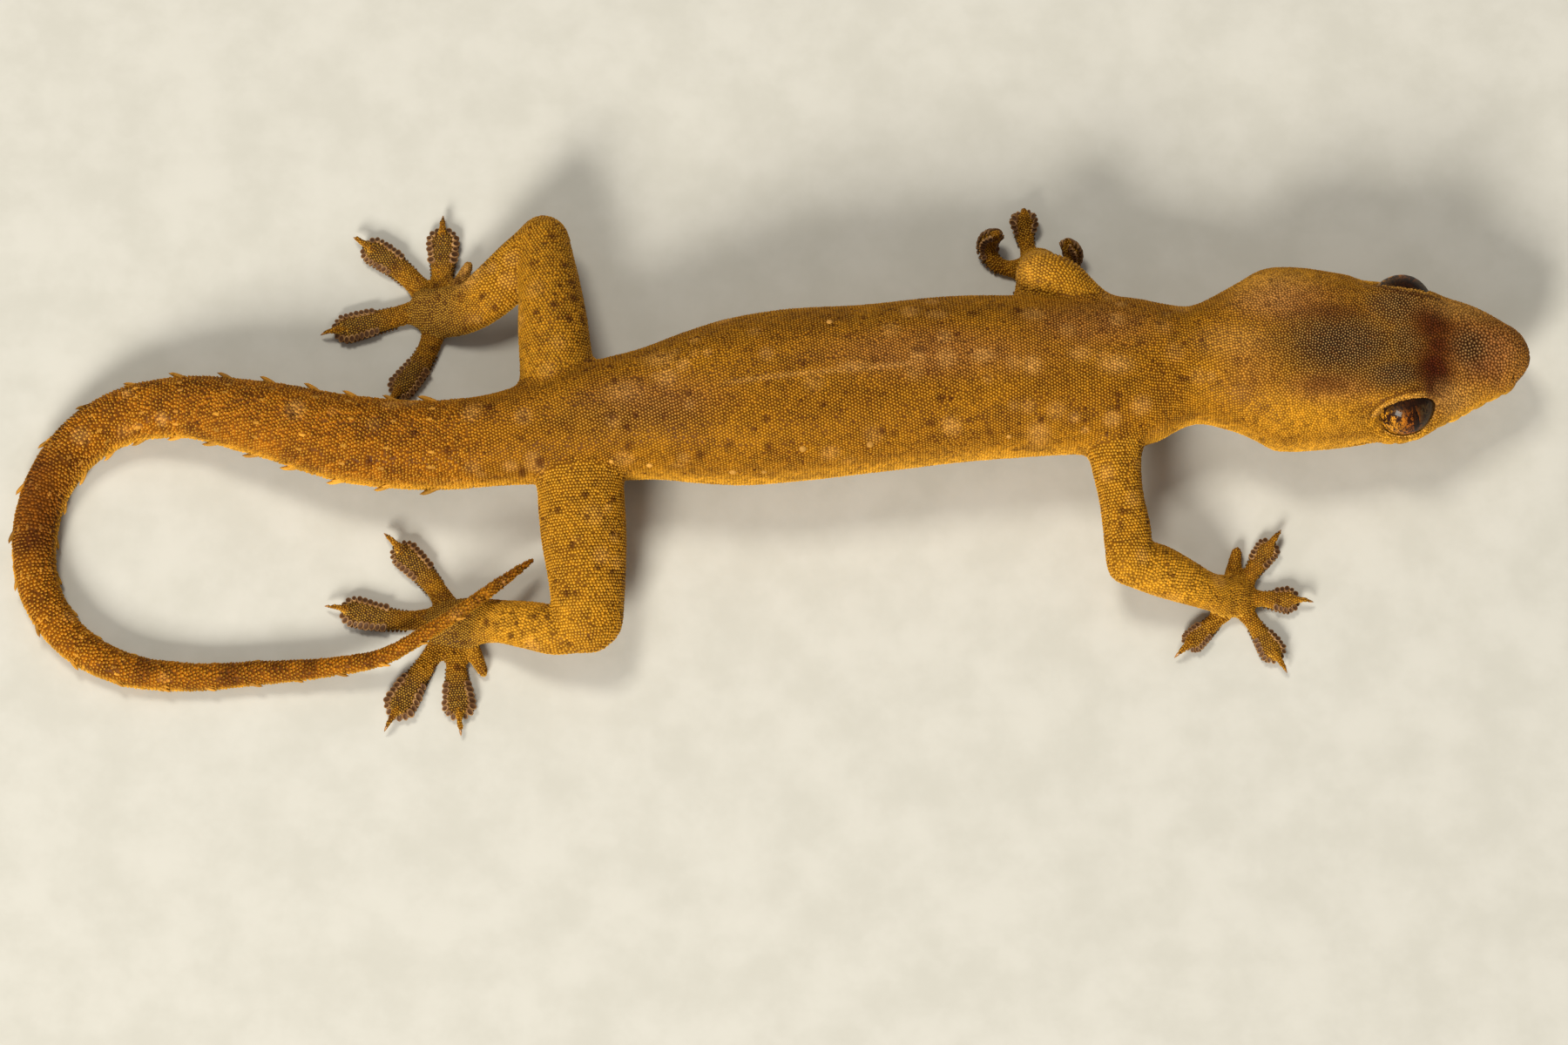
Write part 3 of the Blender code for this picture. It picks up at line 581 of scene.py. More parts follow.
def mouthLine(places, sign):
    frames = trunkFrames(places)
    return frames["centre"] - sign * frames["side"] * (frames["across"] - gecko["coatDepth"])[:, None]


def buildSkin(surfaces):
    # a closed tube for each surface, all of them joined by a voxel remesh
    points, faces = [], []
    for surface in surfaces:
        zone, length = surface["zone"], surface["length"]
        step, sides, inset = skin["tubes"][zone]
        places = np.linspace(0.02 if zone == "trunk" else 0.0, length, int(length / step) + 2)
        if zone != "trunk":
            rim = length - surface["dome"]
            turns = np.radians(np.linspace(0, 88, 9))
            places = np.concatenate([places[places < rim - 0.05], rim + surface["dome"] * np.sin(turns)])
        turns = math.tau * (np.arange(sides) + 0.5) / sides
        ringPoints, ringFaces = closeRings(ringsOf(surface, places, turns, inset)[0])
        faces += [tuple(index + len(points) for index in face) for face in ringFaces]
        points += ringPoints.tolist()
    mesh = bpy.data.meshes.new("rough")
    mesh.from_pydata(points, [], faces)
    rough = addThing("rough", mesh)
    remesh = rough.modifiers.new("remesh", "REMESH")
    remesh.mode = "VOXEL"
    remesh.voxel_size = gecko["voxel"]
    graph = bpy.context.evaluated_depsgraph_get()
    made = bpy.data.meshes.new_from_object(rough.evaluated_get(graph))
    found = meshArrays(made)
    bpy.data.objects.remove(rough)
    bpy.data.meshes.remove(made)
    return keepLargest(*found)


def keepLargest(points, triangles):
    # leaves out loose bits inside the skin
    label = np.arange(len(points))
    while True:
        low = label[triangles].min(axis=1)
        new = label.copy()
        for k in range(3):
            np.minimum.at(new, triangles[:, k], low)
        new = new[new]
        if (new == label).all():
            break
        label = new
    names, counts = np.unique(label, return_counts=True)
    keep = label == names[counts.argmax()]
    index = np.cumsum(keep) - 1
    inside = keep[triangles].all(axis=1)
    return points[keep], index[triangles[inside]]


def shapeSkin(points, triangles):
    # softens the roots of limbs, and presses in the mouth, nostrils and ears
    weight, rounds = skin["even"]
    points = relax(points, triangles, np.full(len(points), weight), rounds)
    for part, row in (("roots", 1), ("knees", -1)):
        reach, rounds = skin[part]
        weight = np.zeros(len(points))
        for table in upperLimbs.values():
            away = np.linalg.norm(points - table[row][:3], axis=1)
            weight = np.maximum(weight, 1 - smoothStep(0.4 * reach, 1.5 * reach, away))
        points = relax(points, triangles, weight, rounds)
    normals = vertexNormals(points, triangles)
    places = np.linspace(0.0, trunk["mouthCorner"], 90)
    level, band = skin["mouthLevel"]
    nearMouth = (points[:, 0] > trunk["headFrom"]) & (np.abs(points[:, 2] - level) < band)
    for sign in (1, -1):
        tree = kdOf(mouthLine(places, sign))
        for index in np.nonzero(nearMouth)[0]:
            near, k, gap = tree.find(points[index])
            if gap < 0.5:
                rise = abs(points[index][2] - near[2])
                fade = min(1.0, (trunk["mouthCorner"] - places[k]) / skin["mouthFade"])
                press = skin["mouthDepth"] * fade * max(0.0, 1 - rise / skin["mouthWidth"])
                points[index] -= normals[index] * press
    for pit in pitCentres():
        press = skin["pitDepth"] * (1 - smoothStep(0.35, 1.0, offPit(points, pit, 2.2)))
        points = points - normals * (press * pit[1] / skin["pitRadius"])[:, None]
    for socket in sockets():
        points = shapeLids(points, socket)
    points[:, 2] = np.maximum(points[:, 2], 0.02)
    return points


def shapeLids(points, socket):
    # the skin comes up or down to the lid's edge, covers the ball outside it and gives way inside it
    centre, looks = socket[:2]
    outside, apart, height, edgeHeight, _ = lidPlane(points, socket)
    near = (1 - smoothStep(3.2, 4.2, apart)) * smoothStep(-1.6, -0.6, height)
    pull = (1 - smoothStep(0, skin["lidBlend"], outside)) * near * (outside > 0)
    points = points + (pull * (edgeHeight - height))[:, None] * looks
    away = points - centre
    far = np.linalg.norm(away, axis=1)
    ball = eye["radius"] + skin["lidOver"]
    over = 0.5 * (far + ball + np.sqrt((far - ball) ** 2 + skin["lidSoft"] ** 2)) - far
    fade = (1 - smoothStep(2.4, 3.2, far)) * smoothStep(-0.9, -0.2, away @ looks / far)
    fade = fade * smoothStep(0, 0.5, outside)
    hole = eye["radius"] + eye["rim"] - skin["lidDepth"] * smoothStep(0, skin["lidEdge"], -outside)
    inside = (outside <= 0) & (height > 0)
    wanted = np.where(inside, np.minimum(far, hole), far + over * fade)
    return centre + away * (wanted / np.maximum(far, 1e-6))[:, None]


# Roots of the scales

coat = {
    "dorsalPlaces": (0.0, 3.2, 6.5, 16.0, 30.0, 57.0, 63.0, 90.0, 110.0, 122.0),
    "dorsalGaps": (0.18, 0.2, 0.156, 0.162, 0.18, 0.183, 0.2, 0.21, 0.2, 0.18),
    "bellyGap": 0.37, "throatEnd": 19.5, "bellyLevel": 0.2,
    "gaps": {"limb": 0.185, "toe": 0.15, "joint": 0.135}, "palmGap": 0.148, "palmBefore": 1.2,
    "rowStep": 0.87, "jitter": 0.2, "headJitter": 0.42, "tailJitter": 0.24,
    "snap": 0.32, "crowd": 0.68, "reach": 0.56, "turn": 0.2, "mostTriangles": 150000,
    "fill": ((240000, 0.86, -100.0), (160000, 0.74, 25.5)),  # tries, share of the gap, least x
    "spread": ((4, 0.22, -100.0), (10, 0.3, 24.5)),  # rounds, push, least x
}
lips = {"above": 0.5, "below": 0.4, "upper": 11, "lower": 9, "bulge": 0.09, "sink": 0.03, "end": 8.4,
        "from": 25.6, "level": 4.6}  # bare skin for them lies ahead of and below these
zoneOrder = ("trunk", "limb", "toe", "joint")
kinds = {"granule": 0, "belly": 1, "tail": 2, "limb": 3, "toe": 4}


def pick(found, mask):
    return {key: values[mask] for key, values in found.items()}


def stack(parts):
    return {key: np.concatenate([part[key] for part in parts]) for key in parts[0]}


def layOn(along, ways):
    # the same ways laid flat on the skin
    return unit(along - ways * (along * ways).sum(axis=-1, keepdims=True))


def groundOf(points, triangles):
    # what the scales stand on
    ways = vertexNormals(points, triangles)[triangles].mean(axis=1)
    return {"tree": BVHTree.FromPolygons(points.tolist(), triangles.tolist()),
            "corners": points[triangles], "ways": unit(ways)}


def onGround(ground, points):
    # the nearest places on the skin, the ways it faces there and how far off they are
    hits = [ground["tree"].find_nearest(point) for point in points]
    near = np.array([tuple(hit[0]) for hit in hits]).reshape(-1, 3)
    return near, ground["ways"][[hit[2] for hit in hits]], np.array([hit[3] for hit in hits])


def dorsalGap(place):
    return float(np.interp(place, coat["dorsalPlaces"], coat["dorsalGaps"]))


def jitterOf(kind, place):
    if kind == "granule" and place < trunk["headEnd"]:
        return coat["headJitter"]
    return coat["tailJitter"] if kind == "tail" else coat["jitter"]


def latticeRoots(surface, number, kind, first, last, gapOf, dice, keep=None):
    # rows of roots round a body or limb, each row half a scale off the one before
    places, place = [], first
    while place < last:
        places.append(place)
        place += coat["rowStep"] * gapOf(place)
    if len(places) < 2:
        return None
    turns = math.tau * np.arange(120) / 120
    inset = gecko["toeCoatDepth"] if surface["zone"] == "toe" else gecko["coatDepth"]
    rings, frames = ringsOf(surface, places, turns, inset)
    rows = []
    for k, place in enumerate(places):
        ring = np.vstack([rings[k], rings[k][:1]])
        lengths = np.concatenate([[0.0], np.cumsum(np.linalg.norm(np.diff(ring, axis=0), axis=1))])
        total, gap, jitter = lengths[-1], gapOf(place), jitterOf(kind, place)
        count = max(5, round(total / gap))
        slots = (np.arange(count) + 0.5 * (k % 2) + dice.uniform(-1, 1, count) * jitter) % count
        around = slots * total / count
        along = frames["along"][k]
        points = pointsAt(around, lengths, ring)
        points = points + along * (dice.uniform(-1, 1, count) * jitter * gap)[:, None]
        low, high = rings[k][:, 2].min(), rings[k][:, 2].max()
        rows.append({
            "point": points, "along": np.tile(along, (count, 1)), "place": np.full(count, place),
            "turn": around / total, "gap": np.full(count, gap), "chart": np.full(count, number),
            "level": (points[:, 2] - low) / max(high - low, 0.05), "kind": np.full(count, kinds[kind]),
        })
    found = stack(rows)
    return found if keep is None else pick(found, keep(found["place"], found["level"]))


def settle(found, ground, bare):
    # sets the roots on the skin, and drops those that are far off it or hidden
    points, ways, gaps = onGround(ground, found["point"])
    alive = (gaps < coat["snap"]) & ~bare(points)
    found = pick(found, alive)
    found.update(point=points[alive], normal=ways[alive], along=layOn(found["along"], ways[alive]))
    return found


def thin(found, settled, share):
    # keeps roots that stand clear of the settled ones and of each other
    points, gaps = found["point"], found["gap"]
    alive = np.ones(len(points), bool)
    if settled is not None:
        tree = kdOf(settled["point"])
        for k, point in enumerate(points):
            alive[k] = tree.find(point)[2] > share * gaps[k]
    tree = kdOf(points)
    for k, point in enumerate(points):
        if alive[k]:
            for _, other, _ in tree.find_range(point, share * gaps[k]):
                if other > k:
                    alive[other] = False
    return pick(found, alive)


def bareSpots():
    # a test that is true where another piece covers the skin: eyes, lips, nostrils and ears
    places = np.linspace(0.0, lips["end"], 60)
    lipTree = kdOf(np.concatenate([mouthLine(places, sign) for sign in (1, -1)]))

    def test(points):
        hidden = np.zeros(len(points), bool)
        for socket in sockets():
            outside, _, height, _, _ = lidPlane(points, socket)
            hidden |= (outside < 0.03) & (height > 0)
        for pit in pitCentres():
            hidden |= offPit(points, pit, 2.0) ** 2 < 0.8
        for k in np.nonzero((points[:, 0] > lips["from"]) & (points[:, 2] < lips["level"]))[0]:
            near, _, gap = lipTree.find(points[k])
            rise = points[k][2] - near[2]
            hidden[k] |= gap < 0.6 and -lips["below"] < rise < lips["above"]
        return hidden

    return test


def fillGaps(settled, ground, bare, tries, spare, least, dice):
    # random spots that lie far enough from every root become roots
    there = ground["corners"][:, 0, 0] > least
    corners, ways = ground["corners"][there], ground["ways"][there]
    one, two = corners[:, 1] - corners[:, 0], corners[:, 2] - corners[:, 0]
    areas = np.linalg.norm(np.cross(one, two), axis=1)
    picks = dice.choice(len(corners), tries, p=areas / areas.sum())
    share = dice.random((tries, 2))
    share = np.where(share.sum(axis=1, keepdims=True) > 1, 1 - share, share)
    found = corners[picks, 0] + share[:, :1] * one[picks] + share[:, 1:] * two[picks]
    known = kdOf(settled["point"])
    near = [known.find(point)[1:] for point in found]
    index, gap = np.array([k for k, _ in near]), np.array([gap for _, gap in near])
    room = (gap > spare * settled["gap"][index]) & (gap < 1.2) & ~bare(found)
    extra = pick(settled, index[room])
    extra.update(point=found[room], normal=ways[picks[room]])
    extra["along"] = layOn(extra["along"], extra["normal"])
    extra = thin(extra, None, spare)
    print("roots in the gaps:", len(extra["place"]))
    return stack([settled, extra])


def spread(found, ground, rounds, share, least):
    # roots push off their near neighbours along the skin, so that the coat packs evenly
    points, gaps = found["point"].copy(), found["gap"]
    moving = np.nonzero(points[:, 0] > least)[0]
    for _ in range(rounds):
        known = kdOf(points)
        near = np.array([[index for _, index, _ in known.find_n(points[k], 7)][1:] for k in moving])
        away = points[moving][:, None] - points[near]
        reach = np.linalg.norm(away, axis=2, keepdims=True)
        wanted = (0.5 * (gaps[moving][:, None] + gaps[near]))[..., None]
        push = np.clip(wanted - reach, 0, None) * away / np.maximum(reach, 1e-6)
        points[moving] += share * push.sum(axis=1)
        points[moving], found["normal"][moving], _ = onGround(ground, points[moving])
    found.update(point=points, along=layOn(found["along"], found["normal"]))
    return found


def trunkRoots(surface, number, dice):
    tailStart = trunk["vent"] + 2

    def isBelly(place, level):
        return (level < coat["bellyLevel"]) & (place > coat["throatEnd"]) & (place < trunk["vent"])

    def isFine(place, level):
        return ~isBelly(place, level) & (place < tailStart)

    def bellyGap(place):
        return coat["bellyGap"]

    return [
        latticeRoots(surface, number, "granule", 0.25, tailStart, dorsalGap, dice, isFine),
        latticeRoots(surface, number, "belly", coat["throatEnd"], trunk["vent"], bellyGap, dice, isBelly),
        latticeRoots(surface, number, "tail", tailStart - 0.08, surface["length"] - 0.1, dorsalGap, dice),
    ]


def limbRoots(surface, number, dice):
    zone, palm = surface["zone"], surface["ankle"] - coat["palmBefore"]

    def gapAt(place):
        return coat["gaps"][zone] if place < palm else coat["palmGap"]

    kind = "limb" if zone == "limb" else "toe"
    return [latticeRoots(surface, number, kind, 0.1, surface["length"] - 0.02, gapAt, dice)]


def findRoots(surfaces, ground):
    dice = np.random.default_rng(7)
    bare = bareSpots()
    rows = []
    for number in sorted(range(len(surfaces)), key=lambda k: zoneOrder.index(surfaces[k]["zone"])):
        makeRows = trunkRoots if surfaces[number]["zone"] == "trunk" else limbRoots
        rows += makeRows(surfaces[number], number, dice)
    settled = None
    for found in rows:
        if found is None or not len(found["place"]):
            continue
        found = settle(found, ground, bare)
        if len(found["place"]):
            found = thin(found, settled, coat["crowd"])
            settled = found if settled is None else stack([settled, found])
    print("rows of roots:", len(settled["place"]))
    for tries, spare, least in coat["fill"]:
        settled = fillGaps(settled, ground, bare, tries, spare, least, dice)
    for rounds, push, least in coat["spread"]:
        settled = spread(settled, ground, rounds, push, least)
    return settled


# Markings: soft ovals on the upper side, each with its x, y, half length, half width and strength

markings = {
    "rust": (
        (35.9, 9.6, 1.3, 1.2, 0.9), (35.9, 7.0, 1.1, 1.7, 1.0), (38.6, 7.4, 0.9, 0.6, 0.3),
        (36.1, 8.4, 0.9, 1.2, 0.9), (30.2, 10.2, 2.0, 0.5, 0.4), (29.6, 6.0, 1.4, 0.5, 0.42),
        (-41.3, 0.6, 1.5, 3.4, 0.6),
    ),
    "rose": (
        (38.7, 8.4, 2.7, 2.0, 0.8), (27.8, 11.0, 2.8, 1.3, 0.6), (25.6, 7.0, 1.6, 1.6, 0.3),
        (29.9, 5.9, 2.6, 0.8, 0.5), (8.0, 7.6, 6.0, 1.4, 0.45), (17.0, 9.4, 3.4, 1.4, 0.45),
        (-7.0, 5.2, 3.6, 1.2, 0.35),
    ),
    "olive": (
        (30.8, 8.3, 3.7, 2.0, 1.0), (33.9, 10.5, 2.0, 1.6, 0.88), (33.6, 6.7, 2.0, 1.0, 0.95),
        (34.2, 8.5, 1.4, 1.6, 0.85), (37.8, 8.5, 1.0, 1.0, 0.9), (-8.5, 4.2, 4.0, 1.2, 0.35),
    ),
    "pale": (
        (36.9, 5.6, 1.4, 0.9, 0.45), (37.2, 10.9, 1.8, 0.8, 0.4), (26.4, 11.3, 1.8, 1.2, 0.25),
        (24.5, 8.6, 1.8, 0.9, 0.25), (10.9, 7.4, 0.6, 0.4, 0.6), (13.6, 6.9, 0.5, 0.5, 0.65),
        (16.3, 7.6, 0.6, 0.4, 0.45), (18.2, 7.1, 0.9, 0.5, 0.6), (13.7, 10.0, 0.6, 0.4, 0.45),
        (8.4, 9.9, 0.6, 0.3, 0.35), (3.8, 6.7, 0.8, 0.3, 0.5), (9.2, 3.7, 0.5, 0.4, 0.5),
        (14.0, 3.5, 0.6, 0.5, 0.45), (-6.8, 7.4, 0.9, 0.5, 0.4), (-8.8, 5.6, 1.0, 0.6, 0.3),
        # The oval at (-17.8, 14.0) is painted light: it lightens the first toe of the left hind foot, which
        # lies in the shade of the shin
        (13.4, 13.0, 1.2, 1.2, 0.15), (-17.8, 14.0, 0.9, 1.0, 0.7), (27.0, 12.0, 2.0, 0.9, 0.3),
    ),
    "gold": (
        (28.6, 4.6, 4.2, 1.5, 0.7), (27.0, 12.4, 2.8, 0.9, 0.95), (33.6, 4.2, 3.4, 0.9, 0.8),
        (21.5, -4.1, 3.2, 1.5, 0.9), (-14.5, -6.4, 3.4, 1.7, 0.8), (24.6, 7.0, 2.0, 2.2, 0.45),
        (14.0, 13.4, 1.6, 1.4, 0.5), (40.6, 7.6, 0.8, 1.2, 0.35), (38.9, 6.0, 1.4, 0.6, 0.5),
    ),
    "dark": (
        (35.5, 5.9, 0.3, 0.7, 0.85), (-8.5, 2.7, 0.3, 0.25, 0.8), (-4.6, 2.2, 0.25, 0.25, 0.75),
        (-3.0, 2.6, 0.3, 0.2, 0.7), (-0.8, 2.5, 0.25, 0.25, 0.8), (-5.2, 5.3, 0.25, 0.2, 0.8),
        (-9.4, 4.2, 0.3, 0.25, 0.7), (8.1, 3.8, 0.25, 0.2, 0.8), (8.6, 5.0, 0.25, 0.3, 0.7),
        (11.3, 3.5, 0.25, 0.2, 0.75), (10.4, 10.0, 0.3, 0.2, 0.6), (7.5, 7.7, 0.5, 0.25, 0.6),
        (-35.4, -8.6, 0.5, 1.2, 0.6), (-30.6, -9.0, 0.6, 1.2, 0.65), (-26.2, -8.7, 0.5, 1.0, 0.65),
        (-22.9, -8.3, 0.4, 0.8, 0.5), (-39.8, 3.2, 1.0, 0.7, 0.45), (-41.4, -1.4, 1.0, 0.9, 0.5),
    ),
}
# Red-brown spots of the limbs, hips and shoulders: x, y and radius
spots = (
    (-12.2, 13.5, 0.22), (-11.8, 12.5, 0.3), (-11.7, 11.5, 0.34), (-11.1, 11.2, 0.2),
    (-12.7, 11.0, 0.26), (-11.9, 10.2, 0.24), (-13.7, 10.6, 0.22), (-12.4, 12.2, 0.2),
    (-16.8, 12.3, 0.24), (-16.1, 11.7, 0.2), (-17.8, 10.7, 0.22), (-13.4, 2.0, 0.34),
    (-14.4, 1.6, 0.28), (-8.6, 3.6, 0.24), (-8.1, 4.2, 0.2), (-9.3, 6.2, 0.22), (-10.9, 0.1, 0.24),
    (-9.4, 0.0, 0.2), (-12.4, -0.7, 0.24), (-10.8, -1.1, 0.2), (-9.4, -1.9, 0.22), (-11.6, -2.7, 0.24),
    (-10.2, -3.9, 0.22), (-11.9, -5.2, 0.24), (-13.7, -6.2, 0.28), (-13.0, -6.3, 0.22),
    (-16.4, -6.2, 0.26), (-15.0, -7.1, 0.22), (14.1, 4.1, 0.22), (18.6, -0.6, 0.24), (-18.5, 2.6, 0.26),
    (-20.3, 3.6, 0.24), (-16.2, 5.0, 0.26), (-22.8, 2.2, 0.3), (5.4, 3.4, 0.22), (2.2, 4.6, 0.22),
    (12.9, 10.2, 0.22), (9.5, 8.6, 0.2), (21.4, -3.9, 0.2), (23.0, 8.6, 0.2),
)
spotLook = {"size": 0.85, "strength": 0.95}
lidMarks = {"ridge": (0.02, 0.32), "creaseShade": (0.36, 0.5), "least": 0.1}  # off the lid's edge, above the eye
ridgeLine = {"half": 0.15, "from": (-4.0, -2.0), "to": (6.5, 8.5), "strength": 0.4}
# A band of gold along each side, at this share of the height
flank = {"level": 0.42, "half": 0.16, "gold": 0.75}
scatter = {  # how many, least and most radius, least and most strength, share kept off the head
    "dark": (420, 0.08, 0.24, 0.5, 0.95, 0.85), "pale": (300, 0.25, 0.6, 0.2, 0.5, 0.9),
    "brown": (900, 0.2, 0.6, 0.15, 0.5, 0.4),
}
# How far toes and palms have the colours of the pads
footShares = {"thumb": 0.1, "joint": 0.15, "foreToes": 0.5, "forePalm": 0.12, "hindPalm": 0.75}
markKeys = ("first", "second", "third", "fourth")  # each holds three of the markings


def ofSurface(roots, surfaces, key):
    return np.array([surface[key] for surface in surfaces])[roots["chart"]]


def ovalMasks(roots):
    # strength of every marking's ovals and of the red-brown spots, on the upper side
    points, masks = roots["point"], {}
    for name, ovals in markings.items():
        masks[name] = np.zeros(len(points))
        for x, y, long, wide, strength in ovals:
            away = (((points[:, :2] - (x, y)) / (long, wide)) ** 2).sum(axis=1)
            masks[name] = np.maximum(masks[name], strength * np.exp(-0.9 * away**1.5))
    for x, y, radius in spots:
        away = np.hypot(points[:, 0] - x, points[:, 1] - y) / (spotLook["size"] * radius)
        masks["dark"] = np.maximum(masks["dark"], spotLook["strength"] * np.exp(-0.9 * away**3))
    top = smoothStep(0.35, 0.75, roots["level"])
    return {name: mask * top for name, mask in masks.items()}


def ridgeMask(roots):
    # the pale line along the middle of the back
    line = np.array([(x, y) for x, y, *_ in spineTable if x > -15][::-1])
    x, y = roots["point"][:, 0], roots["point"][:, 1]
    aside = y - np.interp(x, line[:, 0], line[:, 1])
    ridge = np.exp(-((aside / ridgeLine["half"]) ** 2)) * (roots["level"] > 0.5)
    return ridge * smoothStep(*ridgeLine["from"], x) * (1 - smoothStep(*ridgeLine["to"], x))


def markLids(masks, points):
    # a pale gold ridge over each eye, with painted shade in a dark band above it
    (low, high), (first, last) = lidMarks["ridge"], lidMarks["creaseShade"]
    for socket in sockets():
        off, apart, height, _, turns = lidPlane(points, socket)
        upper = np.sin(turns) * (1 if socket[3][2] > 0 else -1) > lidMarks["least"]
        upper = upper & (height > 0) & (apart < 3)
        ridge = upper * smoothStep(0, 0.08, off - low) * smoothStep(0, 0.08, high - off)
        masks["gold"] = np.maximum(masks["gold"], 0.8 * ridge)
        masks["pale"] = np.maximum(masks["pale"], 0.35 * ridge)
        masks["olive"] = masks["olive"] * (1 - 0.8 * ridge)
        # Painted shade: a dark band in the fold above the ridge
        masks["dark"] = np.maximum(masks["dark"], 0.6 * upper * (off > first) * (off < last))


def footMask(roots, surfaces, zones):
    # how far a root has the colours of the feet: pads most, palms of the forefeet least
    place, ankle = roots["place"], ofSurface(roots, surfaces, "ankle")
    isFore = np.char.endswith(ofSurface(roots, surfaces, "limb"), "fore")
    along = place / ofSurface(roots, surfaces, "length")
    foot = np.where(zones == "toe", 0.1 + 0.9 * smoothStep(0.35, 0.65, along), 0.0)
    foot = np.where(ofSurface(roots, surfaces, "isThumb"), footShares["thumb"], foot)
    foot = foot * np.where(isFore, footShares["foreToes"], 1.0)
    palm = (zones == "limb") * smoothStep(ankle - 0.8, ankle + 1.2, place)
    palm = palm * np.where(isFore, footShares["forePalm"], footShares["hindPalm"])
    return np.where(zones == "joint", footShares["joint"], np.maximum(foot, palm))


def scattered(roots, tree, name, head, dice):
    # soft round spots about roots picked by chance
    count, small, large, weak, strong, offHead = scatter[name]
    mask = np.zeros(len(roots["place"]))
    for index in dice.choice(len(mask), count, replace=False):
        radius = dice.uniform(small, large)
        strength = dice.uniform(weak, strong)
        for _, other, gap in tree.find_range(roots["point"][index], radius * 1.6):
            mask[other] = max(mask[other], strength * math.exp(-((gap / radius) ** 4)))
    return mask * (1 - offHead * head)


def markRoots(roots, surfaces):
    # what the finishes of skin and scales read: the markings, tail, limbs, feet and how strong the painted
    # shade between the scales is
    level, place, zones = roots["level"], roots["place"], ofSurface(roots, surfaces, "zone")
    onTrunk, onLimb = zones == "trunk", zones == "limb"
    masks = ovalMasks(roots)
    gold = onTrunk * np.exp(-(((level - flank["level"]) / flank["half"]) ** 2)) * flank["gold"]
    masks["gold"] = np.maximum(masks["gold"], gold)
    masks["pale"] = np.maximum(masks["pale"], ridgeLine["strength"] * ridgeMask(roots) * onTrunk)
    markLids(masks, roots["point"])
    tree, dice = kdOf(roots["point"]), np.random.default_rng(41)
    head = onTrunk * (1 - smoothStep(trunk["headEnd"] - 1, trunk["headEnd"] + 2, place))
    back = onTrunk * smoothStep(0.5, 0.8, level) + onLimb * 0.8
    masks["dark"] = np.maximum(masks["dark"], scattered(roots, tree, "dark", head, dice))
    masks["pale"] = np.maximum(masks["pale"], scattered(roots, tree, "pale", head, dice) * back)
    brown = scattered(roots, tree, "brown", head, dice)
    # How far scales darken at their foot: darker skin and painted shade, weaker on the head outside its
    # olive parts
    gapAndShadeShare = 1 - 0.6 * head * (1 - masks["olive"])
    foot, tail = footMask(roots, surfaces, zones), onTrunk * smoothStep(54, 64, place)
    roots["first"] = np.stack([masks["rust"], masks["olive"], masks["pale"]], axis=1)
    roots["second"] = np.stack([masks["gold"], masks["dark"], foot], axis=1)
    roots["third"] = np.stack([level, tail, onLimb * 1.0], axis=1)
    roots["fourth"] = np.stack([brown, gapAndShadeShare, masks["rose"]], axis=1)
    return roots


# Scales

def scaleShape(sides, long, wide, crown, tilt, shoulder):
    # one scale: x runs backwards, y across, z out of the skin, all in shares of its radius
    turns = math.tau * (np.arange(sides) + 0.5) / sides
    outline = np.stack([np.cos(turns) * long, np.sin(turns) * wide], axis=1)
    base = np.column_stack([outline * 1.04, np.full(sides, -0.5)])
    rim = np.column_stack([outline * shoulder + (0.06, 0), 0.62 * crown + tilt * outline[:, 0] * shoulder])
    points = np.vstack([base, rim, [(0.12 * long, 0, crown + 0.12 * tilt)]])
    return points, np.array(tubeFaces(2, sides) + tipFaces(2, sides))


def domeShape(sides, levels, flat):
    # a round boss with its rim sunk in the skin
    points = []
    for level in range(levels):
        turn = (math.pi / 2) * level / levels
        radius, height = math.cos(turn), math.sin(turn) * flat - (0.35 if level == 0 else 0)
        for k in range(sides):
            angle = math.tau * (k + 0.5 * (level % 2)) / sides
            points.append((radius * math.cos(angle), radius * math.sin(angle), height))
    points.append((0, 0, flat))
    return np.array(points, float), np.array(tubeFaces(levels, sides) + tipFaces(levels, sides))


def spineShape(sides, levels, thick, lift):
    # a blunt spine that leans back and bends towards the tail's tip
    points = []
    for level in range(levels):
        share = level / levels
        radius = thick * (1 - 0.3 * share - 0.4 * share**3)
        middle = np.array((share * 0.96, 0.0, -0.12 + lift * (1.2 * share - 0.3 * share**2)))
        for k in range(sides):
            angle = math.tau * k / sides
            points.append(middle + radius * np.array((-0.45 * math.sin(angle), math.cos(angle),
                                                      0.9 * math.sin(angle))))
    points.append(np.array((1.02, 0, 0.9 * lift - 0.14)))
    return np.array(points, float), np.array(tubeFaces(levels, sides) + tipFaces(levels, sides))


def lobeShape(sides):
    # a lobe of a toe pad: a raised pale rim round a shallow middle, painted dark as the shade in its recess
    rings = ((1.0, -0.6), (1.0, 0.25), (0.88, 0.5), (0.68, 0.38), (0.35, 0.26))
    turns = math.tau * np.arange(sides) / sides
    points = [(1.5 * radius * math.cos(turn), radius * math.sin(turn), height)
              for radius, height in rings for turn in turns]
    points.append((0, 0, 0.24))
    faces = tubeFaces(len(rings), sides) + tipFaces(len(rings), sides)
    crest = np.append(np.repeat((0.6, 0.9, 1.0, 0.25, 0.0), sides), 0.0)
    return np.array(points, float), np.array(faces), crest


scales = {
    "granule": scaleShape(6, 1.1, 1.04, 0.58, 0.14, 0.74),
    "head": scaleShape(6, 1.14, 1.1, 0.5, 0.08, 0.76),
    "belly": scaleShape(8, 1.22, 1.0, 0.16, 0.22, 0.86),
    "tail": scaleShape(6, 1.4, 1.04, 0.46, 0.5, 0.74),
    "limb": scaleShape(6, 1.18, 1.04, 0.5, 0.24, 0.76),
    "toe": scaleShape(6, 1.12, 1.04, 0.56, 0.18, 0.76),
    "boss": domeShape(12, 4, 0.5),
    "bead": domeShape(8, 3, 0.7),
    "spine": spineShape(8, 6, 0.19, 0.5),
    "knob": spineShape(8, 5, 0.36, 0.2),
}
bake = {"patch": 0.0015, "plate": 0.003, "plateStep": 0.004, "platesAcross": 24}


